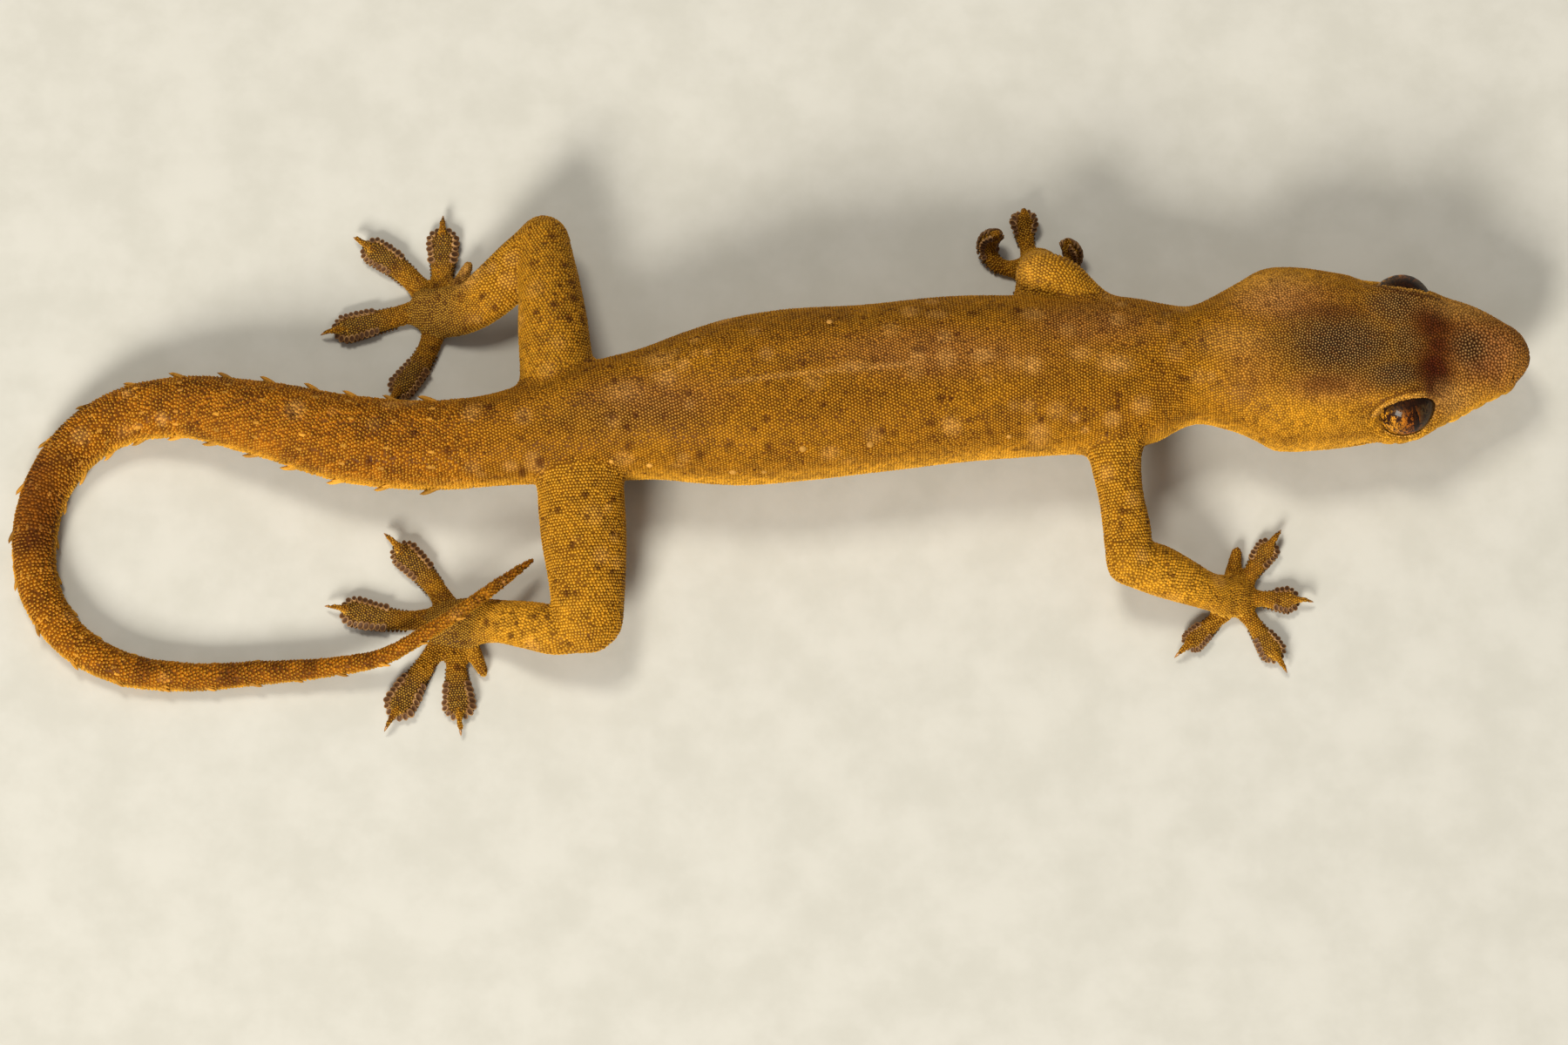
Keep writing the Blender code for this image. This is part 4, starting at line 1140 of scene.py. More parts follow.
def bakePlaces(roots):
    # each surface has a cell of the map, with its length one way and its turn the other
    charts = sorted(set(roots["chart"].tolist()))
    across = math.ceil(math.sqrt(len(charts)))
    found = np.zeros((len(roots["place"]), 2))
    for cell, chart in enumerate(charts):
        mask = roots["chart"] == chart
        places = roots["place"][mask]
        share = (places - places.min()) / max(places.max() - places.min(), 0.01)
        corner = np.array((cell % across, cell // across), float)
        inside = 0.03 + 0.94 * np.stack([share, roots["turn"][mask]], axis=1)
        found[mask] = (corner + inside) / across
    return found


def setCorners(thing, places):
    layer = thing.data.uv_layers.new(name="OFBake")
    index = np.zeros(len(thing.data.loops), np.int32)
    thing.data.loops.foreach_get("vertex_index", index)
    layer.data.foreach_set("uv", np.clip(places, 0.001, 0.999)[index].astype(np.float32).ravel())


def plateMap(thing, parts, corner):
    # each part gets a small patch of the map, in rows from the given corner
    places = []
    for number, (points, _) in enumerate(parts):
        turn = np.linspace(0, 1, len(points))
        row, column = divmod(number, bake["platesAcross"])
        start = np.array(corner) + bake["plateStep"] * np.array((column, row))
        places.append(start + bake["plate"] * np.stack([turn, (turn * 7) % 1], axis=1))
    setCorners(thing, np.vstack(places))


def setMarks(thing, rootPoints, marks):
    setAttribute(thing, "rootPoint", rootPoints)
    for key in markKeys:
        setAttribute(thing, key, marks[key])


def finishPiece(thing, finish):
    thing.data.materials.append(finish)
    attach(thing, "root")


def buildCoat(name, roots, shape, finish, dice, sizes):
    # one scale on each root, a little turned and of its own size
    shapePoints, shapeFaces = shape
    count, size = len(roots["place"]), len(shapePoints)
    turn = dice.uniform(-coat["turn"], coat["turn"], count)[:, None]
    normal = roots["normal"]
    along = roots["along"] * np.cos(turn) + np.cross(normal, roots["along"]) * np.sin(turn)
    radius = coat["reach"] * roots["gap"] * dice.uniform(*sizes, count)
    height = radius * dice.uniform(0.85, 1.15, count)
    points = roots["point"][:, None]
    ways = ((radius, along), (radius, np.cross(normal, along)), (height, normal))
    for axis, (reach, way) in enumerate(ways):
        points = points + (reach[:, None] * shapePoints[None, :, axis])[..., None] * way[:, None]
    points = points.reshape(-1, 3)
    points[:, 2] = np.maximum(points[:, 2], 0.004)
    triangles = (shapeFaces[None] + size * np.arange(count)[:, None, None]).reshape(-1, 3)
    thing = makeMesh(name, points, triangles)
    setMarks(thing, np.repeat(roots["point"], size, axis=0),
             {key: np.repeat(roots[key], size, axis=0) for key in markKeys})
    # The finish reads crest for a painted highlight on the crown and painted shade low on each scale
    crest = np.clip(shapePoints[:, 2] / shapePoints[:, 2].max(), 0, 1)  # 0 at the rim, 1 at the crown
    setAttribute(thing, "crest", np.tile(crest, count), "FLOAT")
    patches = np.tile(shapePoints[:, :2] * bake["patch"], (count, 1))
    setCorners(thing, np.repeat(bakePlaces(roots), size, axis=0) + patches)
    finishPiece(thing, finish)
    return thing


def coatPieces(roots, surfaces, finish):
    # scales are grouped by where they grow, and a large group is cut across into equal lengths
    zones = ofSurface(roots, surfaces, "zone")
    onHind = np.char.endswith(ofSurface(roots, surfaces, "limb"), "hind")
    place, kind, onLimb = roots["place"], roots["kind"], zones == "limb"
    granule, onHead = kind == kinds["granule"], place < trunk["headEnd"]
    groups = (
        ("head_scales", granule & onHead, "head", "body_skin", (0.88, 1.12)),
        ("back_scales", granule & ~onHead, "granule", "body_skin", (0.92, 1.08)),
        ("belly_scales", kind == kinds["belly"], "belly", "body_skin", (0.92, 1.08)),
        ("tail_scales", kind == kinds["tail"], "tail", "tail_skin", (0.82, 1.3)),
        ("hind_limb_scales", onLimb & onHind, "limb", "limb_skin", (0.88, 1.14)),
        ("fore_limb_scales", onLimb & ~onHind, "limb", "limb_skin", (0.88, 1.14)),
        ("foot_scales", (zones == "toe") | (zones == "joint"), "toe", "foot_skin", (0.8, 1.25)),
    )
    dice = np.random.default_rng(23)
    for name, mask, shape, slot, sizes in groups:
        index = np.nonzero(mask)[0]
        order = index[np.argsort(place[index], kind="stable")]
        pieces = math.ceil(len(order) / (coat["mostTriangles"] // len(scales[shape][1])))
        for number, part in enumerate(np.array_split(order, pieces), 1):
            label = name if pieces == 1 else f"{name}_{number}"
            thing = buildCoat(label, pick(roots, part), scales[shape], finish, dice, sizes)
            print(label, len(part), "scales,", len(thing.data.polygons), "triangles")


def buildBody(points, triangles, lender, finish):
    # the skin itself, with painted shade in the nostrils and ears
    bodySkin = makeMesh("gecko_skin", points, triangles)
    index = [lender["tree"].find(point)[1] for point in points]
    marks = {key: lender["roots"][key][index] for key in markKeys}
    # Painted shade: the shallow pits of the nostrils and ears are painted dark, standing in for the shade
    # inside them
    for pit in pitCentres():
        dark = 1 - smoothStep(0.5, 0.9, offPit(points, pit, 1.6))
        marks["second"][:, 1] = np.maximum(marks["second"][:, 1], dark)
    setMarks(bodySkin, points, marks)
    finishPiece(bodySkin, finish)
    flesh = [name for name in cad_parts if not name.startswith("eye")]
    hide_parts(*flesh)


# Lip plates, eye rims, spines, toe plates and claws

def gather(parts):
    # several (points, triangles) as one
    points, triangles, total = [], [], 0
    for partPoints, partTriangles in parts:
        points.append(partPoints)
        triangles.append(np.asarray(partTriangles) + total)
        total += len(partPoints)
    return np.vstack(points), np.vstack(triangles)


def addMarked(name, parts, corner, lender, pale=0.0, gold=0.0):
    # a piece of many parts, each with the markings of the root nearest its middle
    thing = makeMesh(name, *gather(parts))
    middles = np.array([points.mean(axis=0) for points, _ in parts])
    counts = [len(points) for points, _ in parts]
    index = np.repeat([lender["tree"].find(middle)[1] for middle in middles], counts)
    marks = {key: lender["roots"][key][index] for key in markKeys}
    marks["first"][:, 2] = np.maximum(marks["first"][:, 2], pale)
    marks["second"][:, 0] = np.maximum(marks["second"][:, 0], gold)
    setMarks(thing, np.repeat(middles, counts, axis=0), marks)
    # A crest of 0.75 gives these parts a little painted highlight and no painted shade
    setAttribute(thing, "crest", np.full(len(index), 0.75), "FLOAT")
    plateMap(thing, parts, corner)
    finishPiece(thing, lender["finish"])


def addPads(name, parts, crest, corner, finish):
    points, faces = gather(parts)
    thing = makeMesh(name, points, faces)
    setAttribute(thing, "rootPoint", points)
    setAttribute(thing, "crest", crest, "FLOAT")
    plateMap(thing, parts, corner)
    finishPiece(thing, finish)


def pillow(grid, ways, bulge, sink):
    # a plate over a grid of skin points: it swells in the middle and its rim dips into the skin
    rows, columns = grid.shape[:2]
    up = np.abs(np.linspace(-1, 1, rows))[:, None]
    on = np.abs(np.linspace(-1, 1, columns))[None]
    height = bulge * (1 - up**4) * (1 - on**4) - sink * np.maximum(up, on) ** 12
    points = (grid + ways * height[..., None]).reshape(-1, 3)
    k, j = np.meshgrid(np.arange(rows - 1), np.arange(columns - 1), indexing="ij")
    a = (k * columns + j).ravel()
    triangles = np.vstack([np.stack([a, a + 1, a + columns + 1], axis=1),
                           np.stack([a, a + columns + 1, a + columns], axis=1)])
    return points, triangles


def setShape(shapePoints, size, spot, along, up):
    # a shape of the given size at a spot, with its length running along
    return spot + size * (shapePoints[:, :1] * along + shapePoints[:, 1:2] * np.cross(up, along)
                          + shapePoints[:, 2:] * up)


def placeOn(spot, along, size, shape, ground):
    # a shape set on the skin nearest the spot
    near, ways, _ = onGround(ground, [spot])
    points = setShape(shape[0], size, near[0], layOn(along, ways[0]), ways[0])
    points[:, 2] = np.maximum(points[:, 2], 0.01)
    return points, shape[1]


frontPlates = {"rows": ((0.05, 0.6, 0.42), (-0.5, -0.06, 0.36)), "ahead": 43.3}  # low, high, half width


def lipPlates(ground, lender):
    parts, bulge, sink = [], lips["bulge"], lips["sink"]
    rows = ((lips["upper"], 0.04, lips["above"]), (lips["lower"], -0.05, -lips["below"]))
    for sign in (1, -1):
        for count, foot, tall in rows:
            edges = np.linspace(0.42, lips["end"], count + 1)
            for k in range(count):
                line = mouthLine(np.linspace(edges[k] + 0.015, edges[k + 1] - 0.015, 9), sign)
                taper = 1 - 0.45 * smoothStep(0.6, 1.0, (k + 0.5) / count)
                rises = np.linspace(foot, foot + (tall - foot) * taper, 6)
                grid = np.concatenate([line + (0, 0, rise) for rise in rises])
                near, ways, _ = onGround(ground, grid)
                points, faces = pillow(near.reshape(6, 9, 3), ways.reshape(6, 9, 3), bulge, sink)
                if (sign > 0) == (tall > 0):
                    faces = faces[:, ::-1]
                parts.append((points, faces))
    middle = trunkFrames([0.2])["centre"][0]
    for low, high, half in frontPlates["rows"]:
        grid, ways = np.zeros((6, 9, 3)), np.zeros((6, 9, 3))
        for row, rise in enumerate(np.linspace(low, high, 6)):
            for column, side in enumerate(np.linspace(-half, half, 9)):
                start = Vector((frontPlates["ahead"], middle[1] + side, middle[2] + rise))
                hit, _, face, _ = ground["tree"].ray_cast(start, Vector((-1, 0, 0)))
                if hit is None:
                    hit, _, face, _ = ground["tree"].find_nearest(start)
                grid[row, column], ways[row, column] = hit, ground["ways"][face]
        parts.append(pillow(grid, ways, bulge, sink))
    addMarked("lip_plates", parts, (0.1, 0.1), lender, gold=0.35)


# Each row: degrees off the lid's edge, lift over the ball and size
rims = {"rows": ((2.0, 0.07, 0.075), (6.0, 0.12, 0.085)), "beads": 66, "long": 1.15}


def eyeRims(lender):
    # two rows of pale scales round each eye
    parts = []
    beadPoints, beadFaces = scales["bead"]
    dice = np.random.default_rng(5)
    for centre, looks, along, other in sockets():
        for row, (more, lift, size) in enumerate(rims["rows"]):
            count = rims["beads"] + 5 * row
            for k in range(count):
                turn = math.tau * (k + 0.5 * row + dice.uniform(-0.15, 0.15)) / count
                out = math.cos(turn) * along + math.sin(turn) * other
                angle = float(lidOpening(np.array([turn]), other)[0]) + math.radians(more)
                up = math.cos(angle) * looks + math.sin(angle) * out
                swept = unit(np.cross(looks, out))
                width = size * dice.uniform(0.85, 1.12)
                bead = (beadPoints[:, :1] * unit(np.cross(swept, up)) * rims["long"]
                        + beadPoints[:, 1:2] * swept + beadPoints[:, 2:] * up)
                parts.append((centre + up * (eye["radius"] + lift) + width * bead, beadFaces))
    addMarked("eye_rim_scales", parts, (0.3, 0.1), lender, pale=0.45, gold=0.5)


# Whorls of the tail: pointed spines low on each side and blunt knobs over its back; turns are
# in degrees up from the side, on the right and on the left
spines = {
    "start": 60.9, "step": 2.42, "last": 5.0, "knobsTo": 0.62, "thin": 0.45,
    "rows": (("spine", -11, 13, 0.95), ("spine", 2, 26, 0.5), ("spine", -22, 2, 0.45),
             ("knob", 42, 50, 0.42), ("knob", 68, 74, 0.38)),
}


def tailSpines(ground, lender):
    parts = []
    dice = np.random.default_rng(11)
    for place in np.arange(spines["start"], spineLength - spines["last"], spines["step"]):
        share = (place - spines["start"]) / (spineLength - spines["start"])
        for shape, right, left, size in spines["rows"]:
            if shape == "knob" and share > spines["knobsTo"]:
                continue
            for turn in (right, 180 - left):
                angle = math.radians(turn + dice.uniform(-4, 4))
                spot = place + dice.uniform(-0.25, 0.25) * (size < 0.9)
                rings, frames = ringsOf({"zone": "trunk"}, [spot], np.array([angle]), gecko["coatDepth"])
                reach = size * (1 - spines["thin"] * share) * dice.uniform(0.88, 1.1)
                parts.append(placeOn(rings[0, 0], frames["along"][0], reach, scales[shape], ground))
    addMarked("tail_spines", parts, (0.5, 0.1), lender, pale=0.22, gold=0.6)


# Larger round scales on the flank and back: x, y, z and radius
bosses = ((-7.4, 2.1, 5.0, 0.2), (-2.8, 1.8, 5.0, 0.22), (-1.1, 1.7, 5.0, 0.17), (1.0, 2.8, 6.2, 0.22),
          (4.7, 2.9, 6.2, 0.22), (2.5, 9.6, 7.4, 0.2), (12.4, 3.0, 6.0, 0.16), (-9.6, 2.3, 5.2, 0.15))


def backBosses(ground, lender):
    backwards = np.array((-1.0, 0, 0))
    parts = [placeOn(spot, backwards, radius, scales["boss"], ground) for *spot, radius in bosses]
    addMarked("back_bosses", parts, (0.7, 0.1), lender, pale=0.6, gold=0.6)


plates = {"step": 0.22, "size": 0.105, "from": 0.36, "reach": math.radians(-8), "sides": 6, "stations": 13}


def paddedToes(surfaces):
    return [surface for surface in surfaces if surface["zone"] == "toe" and not surface["isThumb"]]


def toePlates(surfaces, finish):
    # the ridged pads: bars that wrap the underside of a toe and show as lobes along its edges
    parts, sides, count = [], plates["sides"], plates["stations"]
    turns = np.linspace(plates["reach"], -math.pi - plates["reach"], count)
    ends = np.sin(np.pi * np.linspace(0.06, 0.94, count)) ** 0.3
    fan = [(0, j, j + 1) for j in range(1, sides - 1)]
    last = (count - 1) * sides
    faces = np.array(tubeFaces(count, sides) + [face[::-1] for face in fan]
                     + [tuple(last + index for index in face) for face in fan])
    for surface in paddedToes(surfaces):
        length = surface["length"]
        places = np.arange(plates["from"] * length, length - 0.16, plates["step"])
        rings, frames = ringsOf(surface, places, turns, -0.03)
        for k in range(len(places)):
            along = frames["along"][k]
            grow = 0.75 + 0.25 * math.sin(math.pi * (k + 0.5) / len(places))
            points = []
            for spot, way, end in zip(rings[k], unit(np.gradient(rings[k], axis=0)), ends):
                out = np.cross(way, along)
                size = plates["size"] * end * grow
                for turn in math.tau * np.arange(sides) / sides:
                    points.append(spot + size * (math.cos(turn) * along * 1.1 + math.sin(turn) * out))
            points = np.array(points)
            points[:, 2] = np.maximum(points[:, 2], 0.006)
            parts.append((points, faces))
    crest = np.full(sum(len(points) for points, _ in parts), 0.4)
    addPads("toe_pad_plates", parts, crest, (0.1, 0.4), finish)


# Lobes round the edge of a pad, fanned at its end: share of the toe where they start, turn up from its
# side, and step and half width in shares of the pad's half width
lobes = {"from": 0.54, "turn": math.radians(32), "step": 0.38, "half": 0.2, "out": 0.02, "lean": 0.85,
         "fan": 0.25}


def padLobes(surfaces, finish):
    parts = []
    dice = np.random.default_rng(17)
    lobePoints, lobeFaces, lobeCrest = lobeShape(12)
    for surface in paddedToes(surfaces):
        length, pad, dome = surface["length"], surface["pad"], surface["dome"]
        places = np.concatenate([np.linspace(lobes["from"] * length, length - dome, 12)[:-1],
                                 length - dome * (1 - np.sin(np.linspace(0, 1.5, 14)))])
        rings, frames = ringsOf(surface, places, np.array([lobes["turn"], math.pi - lobes["turn"]]), 0.03)
        edge = np.vstack([rings[:, 0], rings[::-1, 1]])
        core = frames["centre"] - frames["along"] * np.clip(places - length + dome, 0, None)[:, None]
        core, ups = np.vstack([core, core[::-1]]), np.vstack([frames["up"], frames["up"][::-1]])
        steps = np.concatenate([[0.0], np.cumsum(np.linalg.norm(np.diff(edge, axis=0), axis=1))])
        count = max(5, round(steps[-1] / (lobes["step"] * pad)))
        for step in (np.arange(count) + 0.5) * steps[-1] / count:
            here, inner, up = (pointsAt(step, steps, line) for line in (edge, core, ups))
            away = unit(here - inner + lobes["fan"] * pad * frames["along"][-1])
            half = lobes["half"] * pad * dice.uniform(0.8, 1.2)
            up = unit(up + lobes["lean"] * away)
            along = layOn(away, up)
            points = setShape(lobePoints, half, here + away * lobes["out"], along, up)
            points[:, 2] = np.maximum(points[:, 2], 0.01)
            parts.append((points, lobeFaces))
    addPads("toe_pad_lobes", parts, np.tile(lobeCrest, len(parts)), (0.1, 0.6), finish)


claw = {"length": 0.32, "radius": 0.09, "levels": 6, "sides": 8, "bend": 0.7, "deep": 1.2, "back": 0.12}


def buildClaws(surfaces, finish):
    # a small hooked claw on the end of each free toe joint
    parts, levels, sides, bend = [], claw["levels"], claw["sides"], claw["bend"]
    faces = np.array(tubeFaces(levels, sides) + tipFaces(levels, sides))
    down = np.array((0, 0, -1.0))
    for surface in surfaces:
        if surface["zone"] != "joint":
            continue
        before, end = np.array(surface["rows"])[-2:, :3]
        way = unit(end - before)
        side = unit(np.cross(way, down))
        start = end - way * claw["back"]
        points = []
        for share in np.arange(levels + 1) / levels:
            turn = bend * share
            middle = start + claw["length"] * (way * math.sin(turn) + down * (1 - math.cos(turn))) / bend
            out = -down * math.cos(turn) + way * math.sin(turn)
            radius = claw["radius"] * (1 - share) ** 0.7
            for a in np.linspace(0, math.tau, sides, endpoint=False) if share < 1 else [0.0]:
                around = math.cos(a) * side + math.sin(a) * out * claw["deep"]
                points.append(middle + radius * around)
        points = np.array(points)
        points[:, 2] = np.maximum(points[:, 2], 0.01)
        parts.append((points, faces))
    finishPiece(makeMesh("claws", *gather(parts)), finish)


ball = {"stacks": 48, "sides": 96, "swell": 0.03, "swellWidth": 0.55, "inset": 0.02}


def buildEyes(finish):
    # each eye is a ball with a slightly raised clear front; eyeCoord is read by its finish
    stacks, sides, radius = ball["stacks"], ball["sides"], eye["radius"] - ball["inset"]
    for name, sign in (("left", 1), ("right", -1)):
        centre, looks, along, other = eyeFrame(sign)
        mirror = 1 if other[2] > 0 else -1
        points, coords = [], []
        for tilt in math.pi * np.arange(1, stacks) / stacks:
            swell = 1 + ball["swell"] * math.exp(-((tilt / ball["swellWidth"]) ** 2))
            for turn in math.tau * np.arange(sides) / sides:
                x, y, z = math.sin(tilt) * math.cos(turn), math.sin(tilt) * math.sin(turn), math.cos(tilt)
                coords.append((x, y * mirror, z))
                points.append(centre + radius * swell * (x * along + y * other + z * looks))
        points += [centre + looks * radius * (1 + ball["swell"]), centre - looks * radius]
        coords += [(0, 0, 1), (0, 0, -1)]
        faces = [face[::-1] for face in tubeFaces(stacks - 1, sides)]
        last, front, back = (stacks - 2) * sides, len(points) - 2, len(points) - 1
        for j in range(sides):
            after = (j + 1) % sides
            faces += [(j, after, front), (last + after, last + j, back)]
        faces = np.array(faces) if sign > 0 else np.array(faces)[:, ::-1]
        thing = makeMesh(f"eyeball_{name}", np.array(points), faces)
        setAttribute(thing, "eyeCoord", np.array(coords))
        finishPiece(thing, finish)
        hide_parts(f"eye_{name}")


# Finishes

def tone(red, green, blue):
    def straight(value):
        value = value / 255
        return value / 12.92 if value <= 0.04045 else ((value + 0.055) / 1.055) ** 2.4
    return straight(red), straight(green), straight(blue), 1.0


class Maker:
    # short calls for the nodes of one finish

    def __init__(self, name):
        self.material = bpy.data.materials.new(name)
        self.material.use_nodes = True
        self.tree = self.material.node_tree
        self.tree.nodes.clear()
        self.shader = self.add("ShaderNodeBsdfPrincipled")
        output = self.add("ShaderNodeOutputMaterial")
        self.join(self.shader.outputs["BSDF"], output.inputs["Surface"])

    def add(self, kind, **values):
        node = self.tree.nodes.new(kind)
        for key, value in values.items():
            setattr(node, key, value)
        return node

    def join(self, source, target):
        if isinstance(source, (int, float, tuple)):
            target.default_value = source
        else:
            self.tree.links.new(source, target)

    def mix(self, share, first, second, blend="MIX"):
        node = self.add("ShaderNodeMix", data_type="RGBA", blend_type=blend)
        for source, index in ((share, 0), (first, 6), (second, 7)):
            self.join(source, node.inputs[index])
        return node.outputs[2]

    def math(self, kind, *values, clamp=False):
        node = self.add("ShaderNodeMath", operation=kind, use_clamp=clamp)
        for index, value in enumerate(values):
            self.join(value, node.inputs[index])
        return node.outputs[0]

    def step(self, value, first, last, low=0.0, high=1.0):
        node = self.add("ShaderNodeMapRange", interpolation_type="SMOOTHSTEP")
        for index, source in enumerate((value, first, last, low, high)):
            self.join(source, node.inputs[index])
        return node.outputs[0]

    def noise(self, place, scale, detail=2.0, rough=0.55, shift=0.0):
        move = self.add("ShaderNodeVectorMath", operation="ADD")
        self.join(place, move.inputs[0])
        move.inputs[1].default_value = (shift, shift * 0.7, shift * 1.3)
        node = self.add("ShaderNodeTexNoise")
        self.join(move.outputs[0], node.inputs["Vector"])
        node.inputs["Scale"].default_value = scale
        node.inputs["Detail"].default_value = detail
        node.inputs["Roughness"].default_value = rough
        return node.outputs["Fac"]

    def chance(self, place):
        node = self.add("ShaderNodeTexWhiteNoise", noise_dimensions="3D")
        self.join(place, node.inputs["Vector"])
        return node.outputs["Value"]

    def field(self, name, kind="Vector"):
        return self.add("ShaderNodeAttribute", attribute_name=name).outputs[kind]

    def split(self, name):
        node = self.add("ShaderNodeSeparateXYZ")
        self.join(self.field(name), node.inputs[0])
        return node.outputs[0], node.outputs[1], node.outputs[2]

    def bump(self, height, strength, distance):
        node = self.add("ShaderNodeBump")
        node.inputs["Strength"].default_value = strength
        node.inputs["Distance"].default_value = distance
        self.join(height, node.inputs["Height"])
        self.join(node.outputs["Normal"], self.shader.inputs["Normal"])

    def set(self, **values):
        names = {"color": "Base Color", "rough": "Roughness", "shine": "Specular IOR Level",
                 "coat": "Coat Weight", "coatRough": "Coat Roughness"}
        for key, value in values.items():
            self.join(value, self.shader.inputs[names[key]])


hide = {
    # low is a paler colour for the underside: partly its own colour, partly painted light that brightens
    # the lower surfaces
    "back": tone(128, 80, 9), "ochre": tone(145, 94, 10), "low": tone(222, 168, 60),
    "limb": tone(162, 110, 18), "tail": tone(144, 84, 8), "tailDark": tone(74, 34, 5),
    "foot": tone(112, 80, 36), "footDark": tone(56, 34, 16),
    "gold": tone(194, 136, 30), "pale": tone(206, 154, 84), "rose": tone(130, 80, 42),
    "olive": tone(46, 29, 14), "rust": tone(62, 16, 3), "brown": tone(84, 44, 6), "dark": tone(58, 19, 4),
    "gap": tone(60, 32, 6), "oliveGapAndShade": tone(24, 14, 6),  # between the scales: darker skin and painted shade
    "crest": tone(238, 184, 60), "rosePaintedHighlight": tone(212, 158, 106),  # painted highlight on their crowns
    "greyPaintedHighlight": tone(200, 158, 98), "rustPaintedHighlight": tone(140, 78, 36),
    "mottle": 3200.0, "grain": 16000.0,  # scale of the noise, per metre
}


def makeHide(name, isScale):
    # one set of markings for skin and scales, read at the roots, with painted shade between the scales and
    # a painted highlight on their crowns
    m = Maker(name)
    place = m.field("rootPoint")
    rust, olive, pale = m.split("first")
    gold, dark, foot = m.split("second")
    level, tail, limb = m.split("third")
    brown, gapAndShadeShare, rose = m.split("fourth")
    broad = m.noise(place, 0.3, 3.0, 0.6)
    medium = m.noise(place, 1.1, 3.0, 0.6, 11.0)
    small = m.noise(place, 3.2, 2.0, 0.6, 23.0)
    color = m.mix(m.step(broad, 0.36, 0.64), hide["back"], hide["ochre"])
    color = m.mix(m.math("MULTIPLY", limb, 0.55), color, hide["limb"])
    color = m.mix(m.math("MULTIPLY", tail, 0.9), color, hide["tail"])
    # Paler towards the underside: partly pigment, partly painted light on the less lit lower surfaces
    color = m.mix(m.step(level, 0.25, 0.6, 0.7, 0.0), color, hide["low"])
    color = m.mix(m.math("MULTIPLY", gold, 0.85), color, hide["gold"])
    color = m.mix(m.math("MULTIPLY", m.step(medium, 0.5, 0.68), 0.5), color, hide["brown"])
    bars = m.math("MULTIPLY", tail, m.step(m.noise(place, 0.5, 2.0, 0.5, 37.0), 0.5, 0.64))
    color = m.mix(m.math("MULTIPLY", bars, 0.55), color, hide["tailDark"])
    color = m.mix(m.math("MULTIPLY", brown, 0.8), color, hide["brown"])
    color = m.mix(rose, color, hide["rose"])
    color = m.mix(olive, color, hide["olive"])
    color = m.mix(rust, color, hide["rust"])
    color = m.mix(m.math("MULTIPLY", pale, 0.8), color, hide["pale"])
    footColor = m.mix(m.step(m.chance(place), 0.25, 0.75), hide["foot"], hide["footDark"])
    color = m.mix(foot, color, footColor)
    color = m.mix(m.math("MULTIPLY", m.step(small, 0.56, 0.68), 0.5), color, hide["brown"])
    color = m.mix(m.math("MULTIPLY", dark, 0.9), color, hide["dark"])
    if isScale:
        crest = m.field("crest", "Fac")
        shade = m.add("ShaderNodeVectorMath", operation="SCALE")
        m.join(color, shade.inputs[0])
        m.join(m.step(m.chance(place), 0.0, 1.0, 0.66, 1.34), shade.inputs["Scale"])
        # Darker skin colour and painted shade: the foot of each scale is mixed towards the colour between
        # the scales
        low = m.step(crest, 0.0, 0.5, 1.0, 0.0)
        share = m.math("MULTIPLY", low, m.step(gapAndShadeShare, 0.0, 1.0, 0.4, 0.84))
        gap = m.mix(olive, hide["gap"], hide["oliveGapAndShade"])
        color = m.mix(share, shade.outputs[0], gap)
        # Painted highlight: the crown of each scale is mixed towards a pale colour, less on dark and rust
        # scales
        light = m.mix(rose, hide["crest"], hide["rosePaintedHighlight"])
        light = m.mix(olive, light, hide["greyPaintedHighlight"])
        light = m.mix(rust, light, hide["rustPaintedHighlight"])
        shine = m.math("MULTIPLY_ADD", olive, 0.24, 0.42)
        shine = m.math("MULTIPLY", shine, m.step(m.math("MAXIMUM", dark, rust), 0.0, 1.0, 1.0, 0.2))
        color = m.mix(m.math("MULTIPLY", m.step(crest, 0.68, 1.0), shine), color, light)
    else:
        # The skin between the scales is darkened: partly its own darker colour, partly painted shade
        color = m.mix(0.5, color, hide["gap"])
    spot = m.add("ShaderNodeTexCoord").outputs["Object"]
    mottle = m.noise(spot, hide["mottle"], 3.0, 0.65, 0.3)
    color = m.mix(m.math("MULTIPLY", m.step(mottle, 0.5, 0.64), 0.3), color, hide["brown"])
    grain = m.noise(spot, hide["grain"], 2.0, 0.6)
    m.bump(grain, 0.16, 0.00002)
    m.set(color=color, rough=m.step(grain, 0.3, 0.7, 0.46, 0.62), shine=0.07)
    return m.material


